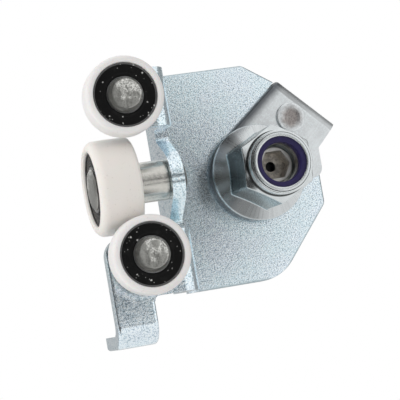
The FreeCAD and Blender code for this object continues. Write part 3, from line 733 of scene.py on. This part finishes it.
def grid_piece(name, points, closed_rows, attributes):
    """Mesh of a grid of points (rows along the outline, columns round the axis), closed round the axis.

    Rows that meet on the axis or lie on each other are merged, faces are turned outwards, and each
    attribute is one number for every point of the grid.
    """
    rows, columns = points.shape[:2]
    index = np.arange(rows * columns).reshape(rows, columns)
    here = index if closed_rows else index[:-1]
    beyond = np.roll(index, -1, axis=0) if closed_rows else index[1:]
    corners = [here, np.roll(here, -1, axis=1), np.roll(beyond, -1, axis=1), beyond]
    faces = np.stack([corner.ravel() for corner in corners], axis=1)
    mesh = bpy.data.meshes.new(name)
    mesh.from_pydata(points.reshape(-1, 3) * MM, [], faces.tolist())
    for key, values in attributes.items():
        layer = mesh.attributes.new(key, "FLOAT", "POINT")
        layer.data.foreach_set("value", np.broadcast_to(values, (rows, columns)).astype(np.float32).ravel())
    work = bmesh.new()
    work.from_mesh(mesh)
    bmesh.ops.remove_doubles(work, verts=work.verts, dist=WELD)
    bmesh.ops.dissolve_degenerate(work, edges=work.edges, dist=WELD)
    bmesh.ops.recalc_face_normals(work, faces=work.faces)
    work.to_mesh(mesh)
    work.free()
    mesh.polygons.foreach_set("use_smooth", np.ones(len(mesh.polygons), bool))
    mesh.set_sharp_from_angle(angle=SHARP_ANGLE)
    return placed(name, mesh)


def ripples(angles, radii, seed):
    """Soft uneven field over a disc: a sum of plane waves with seeded directions, lengths and phases."""
    count = 9
    chance = np.random.default_rng(seed)
    heading = chance.uniform(0, TURN, count)[:, None, None]
    wave = chance.uniform(0.9, 2.6, count)[:, None, None]
    phase = chance.uniform(0, TURN, count)[:, None, None]
    x = radii * np.cos(angles)
    y = radii * np.sin(angles)
    return np.sin((x * np.cos(heading) + y * np.sin(heading)) * wave + phase).mean(axis=0) * math.sqrt(2)


class Axle:
    """Axis of a turned piece: a point on it, the way its outer end looks, and two directions across it.

    Lengths are in millimetres. Heights are counted from the point, along the outward direction.
    """

    def __init__(self, centre, outward):
        self.centre = np.asarray(centre, float)
        self.outward = np.asarray(outward, float)
        self.side = np.roll(np.abs(self.outward), 1)
        self.up = np.cross(self.outward, self.side)

    def span(self, node):
        """Outside radius, lowest height and highest height of a CAD node on this axis."""
        low, high = (np.array(corner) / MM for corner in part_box(node))
        heights = sorted(((low - self.centre) @ self.outward, (high - self.centre) @ self.outward))
        radius = abs((high - low) @ self.side) / 2
        return radius, heights[0], heights[1]

    def place(self, radii, heights, angles):
        """Points at these radii and heights, turned by these angles about the axis."""
        side = (radii * np.cos(angles))[..., None] * self.side
        up = (radii * np.sin(angles))[..., None] * self.up
        along = (heights * np.ones_like(angles))[..., None] * self.outward
        return self.centre + side + up + along

    def turned(self, name, corners, closed, spacing, steps=RING_STEPS, shape=None, masks=None):
        """Surface of revolution of a rounded outline.

        The outline's radius r and height h are carried round the axis. shape may move each point by a
        function of (radius, height, angle), and masks name attributes worked out from the same three.
        """
        outline = resample(rounded(corners, closed), closed, spacing)
        angles = np.linspace(0.0, TURN, steps, endpoint=False)[None, :] + np.zeros((len(outline), 1))
        radii = outline[:, :1] + np.zeros_like(angles)
        heights = outline[:, 1:] + np.zeros_like(angles)
        fields = {key: mask(radii, heights, angles) for key, mask in (masks or {}).items()}
        if shape:
            radii, heights = shape(radii, heights, angles)
        return grid_piece(name, self.place(radii, heights, angles), closed, fields)


def roller_axle(name):
    """Axle of a roller, from its joint: the joint's point is in the middle of the bearing."""
    joint = next(j for j in frame["joints"] if j["name"] == name + "_spin")
    return Axle(np.array(joint["pos_m"]) / MM, -np.array(joint["axis"], float))


def nut_axle(x=0.0, z=0.0):
    """Axle of the stud and nut, or one beside it, from the level of the nut's seat."""
    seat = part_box("flange_nut")[1].y / MM
    return Axle((x, seat, z), FRONT)


def dress(piece, material, node, body):
    """Give a new piece its material, and let it stand for a CAD node on that node's body."""
    piece.data.materials.clear()
    piece.data.materials.append(material)
    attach(piece, body)
    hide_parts(node)


def coat(node, material):
    """Give a CAD node that keeps its own mesh a new material."""
    slots = frame["nodes"][node].data.materials
    slots.clear()
    slots.append(material)


def smooth_least(first, second, width):
    """Smaller of two fields, with the crease between them rounded over the width."""
    blend = np.clip(0.5 + 0.5 * (second - first) / width, 0.0, 1.0)
    return second * (1 - blend) + first * blend - width * blend * (1 - blend)


def smooth_most(first, second, width):
    """Larger of two fields, with the crease between them rounded over the width."""
    return -smooth_least(-first, -second, width)


def hexagon(angles, flats, turn, sharpness):
    """Radius of a hexagon with softened corners, by angle, with its first flat at the turn.

    Half the flats divided by the p-norm of the cosines of the angle to each flat, where the sharpness is p:
    a large p gives sharp corners.
    """
    to_flats = angles[..., None] - turn - np.radians(60 * np.arange(6))
    cosines = np.maximum(np.cos(to_flats), 0.0)
    return flats / 2 / np.sum(cosines ** sharpness, axis=-1) ** (1 / sharpness)


def thread_wave(heights, angles, pitch):
    """Triangle wave between 0 and 1 that climbs one pitch in each turn."""
    return np.abs((heights / pitch - angles / TURN) % 1.0 - 0.5) * 2


class ROLLERGUIDE_OT_sheet(bpy.types.Operator):
    """Finish the folded carrier and the lock plate, and make the lock plate's rivet"""

    bl_idname = "roller_guide.sheet"
    bl_label = "Carrier and Lock Plate"

    def execute(self, context):
        settings = context.scene.roller_guide_sheet
        coat("carrier_plate", zinc_sheet(settings))
        coat("lock_plate", zinc_lock_plate(settings))
        dress(self.rivet(), rivet_metal(settings), "lock_plate_rivet", "carriage")
        return {"FINISHED"}

    def rivet(self):
        """Rivet: a shank, and a flat head with a rounded rim and a shallow hammered hollow."""
        x, _, z = np.mean(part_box("lock_plate_rivet"), axis=0) / MM
        axle = nut_axle(x, z)
        radius, foot, top = axle.span("lock_plate_rivet")
        shank = radius * 0.68
        hollow = 0.36
        corners = [
            (0.0, foot, 0.0),
            (shank, foot, 0.2),
            (shank, 0.0, 0.1),
            (radius, 0.0, 0.15),
            (radius, top, 0.5),
            (radius * 0.62, top, 1.5),
            (radius * 0.42, top - hollow + 0.06, 1.5),
            (0.0, top - hollow, 0.0),
        ]

        def hammered(radii, heights, angles):
            on_head = ramp(heights - top + 0.6, 0.4)
            return radii, heights - on_head * 0.06 * (1 + ripples(angles, radii, RIVET_SEED))

        def worn(radii, heights, angles):
            return ramp(radius * 1.125 - radii, radius * 0.75) * (heights > 0)

        masks = {"worn": worn}
        return axle.turned("rivet_head", corners, False, 0.35, steps=96, shape=hammered, masks=masks)


class ROLLERGUIDE_OT_tyres(bpy.types.Operator):
    """Make the white tyres of the three rollers"""

    bl_idname = "roller_guide.tyres"
    bl_label = "Tyres"

    def execute(self, context):
        settings = context.scene.roller_guide_rollers
        material = tyre_nylon(settings)
        for name in ROLLERS:
            dress(self.tyre(settings, name), material, name + "_tyre", BODIES[name])
        return {"FINISHED"}

    def tyre(self, settings, name):
        """One tyre: a crowned tread with rounded edges, and lips that hold the bearing's outer ring."""
        loaded = name == LOADED
        axle = roller_axle(name)
        radius, low, high = axle.span(name + "_tyre")
        seat, ring_low, ring_high = axle.span(name + "_outer_ring")
        overlap = settings.load_overlap if loaded else settings.lip_overlap
        outer_bevel = settings.load_round if loaded else settings.tyre_round
        mouth_bevel = settings.load_lip_round if loaded else settings.lip_round
        lip = axle.span(name + "_outer_seal")[0] + overlap / MM
        edge = radius - settings.tyre_crown / MM
        tread_round = 30.0
        corners = [
            (lip, low, 0.3),
            (edge, low, settings.tyre_round / MM),
            (radius, (low + high) / 2, tread_round),
            (edge, high, outer_bevel / MM),
            (lip, high, mouth_bevel / MM),
            (lip, ring_high, 0.0),
            (seat, ring_high, 0.0),
            (seat, ring_low, 0.0),
            (lip, ring_low, 0.0),
        ]

        def warm(radii, heights, angles):
            return np.full_like(radii, float(loaded))

        return axle.turned("tyre_" + name, corners, True, 0.9, steps=160, masks={"warm": warm})


class ROLLERGUIDE_OT_bearings(bpy.types.Operator):
    """Make the seals of the bearings, and finish their rings, balls and cages"""

    bl_idname = "roller_guide.bearings"
    bl_label = "Bearings"

    def execute(self, context):
        settings = context.scene.roller_guide_rollers
        rubber = seal_rubber(settings)
        steel = bearing_metal(settings)
        balls = ball_metal(settings)
        cage = cage_nylon(settings)
        for name in ROLLERS:
            for side in ("outer", "inner"):
                node = name + "_" + side + "_seal"
                dress(self.seal(name, side, node), rubber, node, BODIES[name])
            coat(name + "_inner_ring", steel)
            coat(name + "_outer_ring", steel)
            coat(name + "_balls", balls)
            coat(name + "_cage", cage)
        return {"FINISHED"}

    def seal(self, name, side, node):
        """One seal: a flat ring with a raised band along each edge and a dished face between them."""
        axle = roller_axle(name)
        inside = axle.span(name + "_inner_ring")[0] + 0.1
        outside, low, high = axle.span(node)
        face, back = (high, low) if side == "outer" else (low, high)
        dished = face + np.sign(back - face) * 0.22
        outer_band, inner_band = 0.45, 0.6
        corners = [
            (inside, back, 0.0),
            (outside, back, 0.0),
            (outside, face, 0.12),
            (outside - outer_band, face, 0.15),
            (outside - outer_band - 0.3, dished, 0.2),
            (inside + inner_band + 0.35, dished, 0.2),
            (inside + inner_band, face, 0.15),
            (inside, face, 0.12),
        ]

        def rim(radii, heights, angles):
            return ramp(radii - outside + 0.42, 0.1)

        return axle.turned("seal_" + side + "_" + name, corners, True, 0.15, masks={"rim": rim})


class ROLLERGUIDE_OT_pins(bpy.types.Operator):
    """Make the riveted pins with their hammered heads"""

    bl_idname = "roller_guide.pins"
    bl_label = "Roller Pins"

    def execute(self, context):
        settings = context.scene.roller_guide_rollers
        material = pin_metal(settings)
        for seed, name in enumerate(ROLLERS):
            dress(self.pin(settings, name, seed), material, name + "_pin", "carriage")
        return {"FINISHED"}

    def pin(self, settings, name, seed):
        """One pin: tenon head, tenon, collar, journal and peened head, turned about the roller's axle."""
        loaded = name == LOADED
        axle = roller_axle(name)
        collar, tail, top = axle.span(name + "_pin")
        shoulder, low, high = axle.span(name + "_inner_ring")
        head = shoulder - (settings.load_head_inset if loaded else settings.head_inset) / MM
        top = top - (settings.load_head_drop / MM if loaded else 0.0)
        slope = settings.head_slope / MM
        land = settings.head_land / MM * (0.4 if loaded else 1.0)
        dent = settings.dent / MM * (0.3 if loaded else 1.0)
        ring_wall = 1.9 if loaded else 1.4
        bore = shoulder - ring_wall
        seat = min(collar, shoulder) - 0.2
        tenon, tenon_head, tenon_height = 3.6, 5.6, 2.0
        foot = tail + tenon_height
        sheet_face = foot + SHEET
        corners = [
            (0.0, tail, 0.0),
            (tenon_head - 2.2, tail, 1.2),
            (tenon_head, foot - 0.7, 0.5),
            (tenon_head, foot, 0.0),
            (tenon, foot, 0.0),
            (tenon, sheet_face, 0.0),
            (collar, sheet_face, 0.3),
            (collar, low - 0.8, 0.3),
            (seat, low, 0.15),
            (bore, low, 0.0),
            (bore, high, 0.0),
            (head, high, 0.2),
            (head, high + land, 0.1),
            (head - slope, top, 0.3 if loaded else 0.5),
            (head * 0.32, top, 0.8),
            (0.0, top - 0.35, 0.0),
        ]

        def hammered(radii, heights, angles):
            """Lower both end faces by uneven dents and pull their rims in and out a little."""
            face = ramp(heights - high - 0.9, 0.7)
            back = ramp(foot - 0.4 - heights, 0.6)
            lowered = heights + (back - face) * dent * (1 + ripples(angles, radii, PIN_SEED + seed))
            uneven = 1 + np.sin(5 * angles + seed) * np.sin(3 * angles)
            return radii * (1 - (face + back) * 0.012 * uneven), lowered

        def peened(radii, heights, angles):
            return ramp(heights - high - 0.1, 0.3) + ramp(foot - heights, 0.3)

        def lean(radii, heights, angles):
            """How far a point lies towards the head's upper right: painted highlight there, painted shade
            towards the lower left.
            """
            return radii / head * np.cos(angles + math.radians(45)) * (heights > high)

        masks = {"peened": peened, "lean": lean}
        return axle.turned("pin_" + name, corners, False, 0.35, steps=144, shape=hammered, masks=masks)


class ROLLERGUIDE_OT_nut(bpy.types.Operator):
    """Make the flange nut and its locking insert"""

    bl_idname = "roller_guide.nut"
    bl_label = "Flange Nut"

    def execute(self, context):
        settings = context.scene.roller_guide_nut
        axle = nut_axle()
        material = bright_nut(settings, context.scene.roller_guide_sheet)
        dress(self.nut(settings, axle), material, "flange_nut", "carriage")
        outside, low, high = axle.span("nut_insert")
        inside = settings.insert_bore / MM
        corners = [(inside, low, 0.1), (outside, low, 0.0), (outside, high, 0.0), (inside, high, 0.55)]
        ring = axle.turned("insert_ring", corners, True, 0.5)
        dress(ring, insert_nylon(settings), "nut_insert", "carriage")
        return {"FINISHED"}

    def nut(self, settings, axle):
        """Nut as one grid: seat, flange, hexagon, crown, the insert's recess and threaded bore.

        On the outside, the radius at a height is the larger of the flange's cone and the hexagon, and the
        hexagon is cut by the chamfer's cone, with both creases rounded. The bore follows the thread's wave.
        """
        flange, _, top = axle.span("flange_nut")
        insert, insert_low, insert_top = axle.span("nut_insert")
        flats = settings.flats / MM
        hex_top = settings.hex_height / MM
        rim = settings.flange_rim / MM
        rise = settings.flange_rise / MM
        crown = settings.crown_radius / MM
        mouth = settings.mouth_radius / MM
        lip = settings.crown_lip / MM
        pitch = settings.thread_pitch / MM
        bore = settings.thread_radius / MM + 0.02
        crease = 0.3
        sharpness = 70.0
        steps = 240
        angles = np.linspace(0.0, TURN, steps, endpoint=False)[None, :]
        seat = rounded([(bore, 0.0, 0.0), (flange - 0.1, 0.0, 0.25), (flange, rim * 0.5, 0.4)])
        levels = np.concatenate([
            np.linspace(rim * 0.5, rise + 1.5, 40)[1:],
            np.linspace(rise + 1.5, hex_top - 3.0, 12)[1:],
            np.linspace(hex_top - 3.0, hex_top - 0.02, 40)[1:],
        ])[:, None]
        slope = flange - (levels - rim) * (flange - flats / 2) / (rise - rim)
        flange_side = smooth_least(slope, flange + 0 * slope, crease)
        chamfer = crown + 0.15 + (hex_top - levels) / math.tan(settings.chamfer)
        six_sides = hexagon(angles, flats, settings.nut_turn, sharpness)
        sides = smooth_least(six_sides, chamfer + 0 * angles, crease)
        outside = smooth_most(sides, flange_side + 0 * angles, 0.5)
        crown_rows = rounded([
            (crown + 0.1, hex_top, 0.0),
            (crown - 0.25, hex_top - 0.05, 0.2),
            (crown, hex_top + 0.7, 0.2),
            (crown, top - 0.5, 0.3),
            (crown - lip, top - 0.4, 0.05),
            (crown - lip - 0.1, top - 0.6, 0.05),
            (crown - lip - 0.2, top, 0.25),
            (mouth, top, 0.2),
            (mouth, insert_top, 0.05),
            (insert, insert_top, 0.0),
            (insert, insert_low, 0.0),
            (bore, insert_low, 0.1),
            (bore, insert_low - 0.3, 0.0),
        ])
        turns = np.arange(insert_low - 0.4, 0.15, -pitch / 8)[:, None]
        threads = bore + thread_wave(turns, angles, pitch) * settings.thread_depth / MM * 0.6
        radii = np.vstack([seat[:, :1] + 0 * angles, outside, crown_rows[:, :1] + 0 * angles, threads])
        heights = np.vstack([seat[:, 1:], levels, crown_rows[:, 1:], turns])
        points = axle.place(radii, heights + 0 * angles, angles + 0 * radii)
        shown = slice(len(seat), len(seat) + len(outside))
        flat = np.zeros_like(radii)
        flat[shown] = ramp(sides - flange_side, crease) * ramp(chamfer - sides, crease)
        cone = np.zeros_like(radii)
        cone[shown] = ramp(flange_side - sides, crease) * ramp(levels - rim, crease)
        # Rows with painted shade: the hexagon's foot at the crown, under the crown's lip, and the flange's
        # side wall
        at_foot = np.abs(heights - hex_top) < 0.12
        at_lip = (np.abs(radii - crown + lip + 0.1) < 0.12) & (heights > hex_top) & (heights < top - 0.2)
        at_side = (radii > flange - 0.12) & (heights > 0.1) & (heights < rim - 0.15)
        groove = (at_foot | at_lip) * 1.0 + at_side * 0.8
        return grid_piece("nut_body", points, True, {"flat": flat, "cone": cone, "groove": groove})


class ROLLERGUIDE_OT_stud(bpy.types.Operator):
    """Make the pivot stud with its thread and hexagon socket"""

    bl_idname = "roller_guide.stud"
    bl_label = "Pivot Stud"

    def execute(self, context):
        settings = context.scene.roller_guide_nut
        dress(self.stud(settings), stud_metal(settings), "pivot_stud", "carriage")
        return {"FINISHED"}

    def stud(self, settings):
        """Stud as one grid: pivot, collar, neck, thread, end with a painted highlight, hexagon socket and
        drilled hole.
        """
        axle = nut_axle()
        collar, tail, end = axle.span("pivot_stud")
        pivot = settings.pivot_radius / MM
        thread = settings.thread_radius / MM
        pitch = settings.thread_pitch / MM
        flats = settings.socket_flats / MM
        drill = settings.drill_radius / MM
        floor = end - settings.socket_depth / MM
        drilled = floor - settings.drill_depth / MM
        shoulder = -axle.centre @ axle.outward
        collar_height = 4.0
        collar_top = shoulder + collar_height
        bevel = 1.2
        sharpness = 60.0
        steps = 144
        angles = np.linspace(0.0, TURN, steps, endpoint=False)[None, :]
        shank = rounded([
            (0.0, tail, 0.0),
            (pivot - bevel, tail, 0.3),
            (pivot, tail + bevel, 0.3),
            (pivot, shoulder, 0.2),
            (collar, shoulder, 0.8),
            (collar, collar_top, 0.0),
            (thread, collar_top, 0.0),
            (thread, 0.3, 0.0),
        ])
        turns = np.arange(0.4, end - 0.9, pitch / 10)[:, None]
        threads = thread - thread_wave(turns, angles, pitch) * settings.thread_depth / MM
        mouth = rounded([(thread - 0.5, end - 0.8, 0.0), (thread - 0.8, end, 0.2), (flats * 0.62, end, 0.0)])
        socket = hexagon(angles, flats, 0.0, sharpness) * np.array([[1.04], [1.0], [1.0]])
        socket_rows = np.array([[end], [end - 0.4], [floor]])
        bottom = rounded([
            (drill + 1.5, floor, 0.0),
            (drill, floor, 0.15),
            (drill, drilled, 0.0),
            (0.0, drilled, 0.0),
        ])
        ring = 0 * angles
        radii = np.vstack([shank[:, :1] + ring, threads, mouth[:, :1] + ring, socket, bottom[:, :1] + ring])
        rows = np.vstack([shank[:, 1:], turns, mouth[:, 1:], socket_rows, bottom[:, 1:]])
        points = axle.place(radii, rows + ring, angles + 0 * radii)
        masks = {
            # Painted highlight on the stud's end
            "rubbed": ramp(rows - end + 0.5, 0.3),
            # Painted shade in the drilled hole
            "deep": ramp(floor - 0.1 - rows, 0.3) * (radii < drill + 0.1) * (rows > 0),
            "socket": (rows > floor - 0.1) & (radii < thread - 0.4),
        }
        return grid_piece("stud_body", points, False, masks)


def softbox(name, watts, place, width):
    """Soft area light aimed at the object's middle, which doesn't show in reflections."""
    lamp = bpy.data.lights.new(name, "AREA")
    lamp.energy = watts
    lamp.size = width
    back = unit(np.array(place) - np.mean(CAD_BOX, axis=0))
    right = unit(np.cross((0.0, 0.0, 1.0), back))
    aim = Matrix(np.stack([right, np.cross(back, right), back], axis=1)).to_quaternion()
    holder = placed(name, lamp)
    holder.matrix_world = Matrix.LocRotScale(place, aim, None)
    holder.visible_camera = False
    holder.visible_glossy = False


def stage_panel(name, corners, material):
    """Flat four-sided piece of the stage."""
    mesh = bpy.data.meshes.new(name)
    mesh.from_pydata(corners, [], [(0, 1, 2, 3)])
    mesh.materials.append(material)
    return placed(name, mesh)


def screen(name, low, high, brightness):
    """Flat screen between two corners, which shows only in reflections, so that bright metal has contrast.

    Two of its sides run along the first axis in which the corners differ, the other two along the second.
    """
    across, along = (axis for axis in range(3) if low[axis] != high[axis])
    corners = np.tile(np.array(low), (4, 1))
    corners[[1, 2], across] = high[across]
    corners[[2, 3], along] = high[along]

    def shade(begin):
        return begin.node("ShaderNodeEmission", {}, {"Color": rgba(WHITE), "Strength": brightness})

    panel = stage_panel(name, corners, material_of(name, shade))
    panel.visible_camera = False
    panel.visible_diffuse = False
    panel.visible_shadow = False
    panel.visible_transmission = False


def seen_directly(begin):
    """1 for camera, glossy and transmission rays, 0 for the light that spreads from a surface."""
    outputs = ("Is Camera Ray", "Is Glossy Ray", "Is Transmission Ray")
    camera, glossy, through = (begin.node("ShaderNodeLightPath", {}, {}, output) for output in outputs)
    return begin.maths("MAXIMUM", camera, begin.maths("MAXIMUM", glossy, through))


class ROLLERGUIDE_OT_stage(bpy.types.Operator):
    """Set the pale floor, the soft lights, the white surroundings and the camera"""

    bl_idname = "roller_guide.stage"
    bl_label = "Stage"

    def execute(self, context):
        settings = context.scene.roller_guide_stage
        context.scene.view_settings.view_transform = "Standard"
        self.floor(settings)
        self.surroundings(context.scene, settings)
        for name, setting, place, width in LAMPS:
            softbox(name, getattr(settings, setting), place, width)
        for name, low, high, setting in SCREENS:
            screen(name, low, high, getattr(settings, setting))
        self.camera(context.scene, settings)
        return {"FINISHED"}

    def floor(self, settings):
        """Square floor that keeps the object's shadow round its foot and fades to white further out."""
        level = CAD_BOX[0][2] - settings.floor_drop
        corners = [(x * FLOOR_HALF, y * FLOOR_HALF, level) for x, y in ((-1, -1), (1, -1), (1, 1), (-1, 1))]

        def shade(begin):
            pale = begin.node("ShaderNodeBsdfDiffuse", {}, {"Color": rgba(settings.floor_white)})
            white = begin.node("ShaderNodeEmission", {}, {"Color": rgba(WHITE), "Strength": 1.0})
            place = begin.node("ShaderNodeTexCoord", {}, {}, "Object")
            spread = settings.shadow_spread
            open_floor = place.mapped("Scale", 1.0, 1.0, 0.0).size().above(spread * 0.6, spread * 0.8)
            direct = seen_directly(begin) * (1 - (1 - open_floor) * settings.shadow_share)
            return begin.node("ShaderNodeMixShader", {}, {0: direct, 1: pale, 2: white})

        floor = stage_panel("floor", corners, material_of("pale_floor", shade))

    def surroundings(self, scene, settings):
        """World: even soft light, and plain white where it is seen directly."""
        world = bpy.data.worlds.new("white_studio")
        begin = blank_tree(world)
        scene.world = world
        even = begin.node("ShaderNodeBackground", {}, {"Color": rgba(WHITE), "Strength": settings.ambient})
        white = begin.node("ShaderNodeBackground", {}, {"Color": rgba(WHITE), "Strength": 1.0})
        surface = begin.node("ShaderNodeMixShader", {}, {0: seen_directly(begin), 1: even, 2: white})
        begin.node("ShaderNodeOutputWorld", {}, {"Surface": surface}, None)

    def camera(self, scene, settings):
        """Camera at its place, turned by yaw about the upright, then pitch about the right, then roll."""
        lens = bpy.data.cameras.new("camera")
        lens.lens = settings.lens
        lens.sensor_width = SENSOR
        holder = placed("camera", lens)
        turned = Matrix.Rotation(settings.roll, 3, "Y")
        turned = turned @ Matrix.Rotation(settings.pitch, 3, "X") @ Matrix.Rotation(settings.yaw, 3, "Z")
        aim = turned.transposed() @ Matrix.Rotation(math.radians(90), 3, "X")
        holder.matrix_world = Matrix.LocRotScale(settings.camera_place, aim.to_quaternion(), None)
        scene.camera = holder


OPERATORS = (
    ROLLERGUIDE_OT_sheet,
    ROLLERGUIDE_OT_tyres,
    ROLLERGUIDE_OT_bearings,
    ROLLERGUIDE_OT_pins,
    ROLLERGUIDE_OT_nut,
    ROLLERGUIDE_OT_stud,
    ROLLERGUIDE_OT_stage,
)
GROUPS = {
    "roller_guide_sheet": SheetSettings,
    "roller_guide_rollers": RollerSettings,
    "roller_guide_nut": NutSettings,
    "roller_guide_stage": StageSettings,
}


class ROLLERGUIDE_PT_panel(bpy.types.Panel):
    """Panel with every operator and its settings"""

    bl_idname = "ROLLERGUIDE_PT_panel"
    bl_label = "Roller Guide"
    bl_space_type = "VIEW_3D"
    bl_region_type = "UI"
    bl_category = "Roller Guide"

    def draw(self, context):
        for operator in OPERATORS:
            self.layout.operator(operator.bl_idname)
        for group, kind in GROUPS.items():
            box = self.layout.box()
            for key in kind.__annotations__:
                box.prop(getattr(context.scene, group), key)


def register():
    """Register the settings, the operators and the panel."""
    for group, kind in GROUPS.items():
        bpy.utils.register_class(kind)
        setattr(bpy.types.Scene, group, bpy.props.PointerProperty(type=kind))
    for kind in (*OPERATORS, ROLLERGUIDE_PT_panel):
        bpy.utils.register_class(kind)


def unregister():
    """Take the panel, the operators and the settings away again."""
    for kind in (ROLLERGUIDE_PT_panel, *reversed(OPERATORS)):
        bpy.utils.unregister_class(kind)
    for group, kind in GROUPS.items():
        delattr(bpy.types.Scene, group)
        bpy.utils.unregister_class(kind)


def main():
    """Dress the part and set the stage."""
    register()
    bpy.ops.roller_guide.sheet()
    bpy.ops.roller_guide.tyres()
    bpy.ops.roller_guide.bearings()
    bpy.ops.roller_guide.pins()
    bpy.ops.roller_guide.nut()
    bpy.ops.roller_guide.stud()
    bpy.ops.roller_guide.stage()


if __name__ == "__main__":
    main()
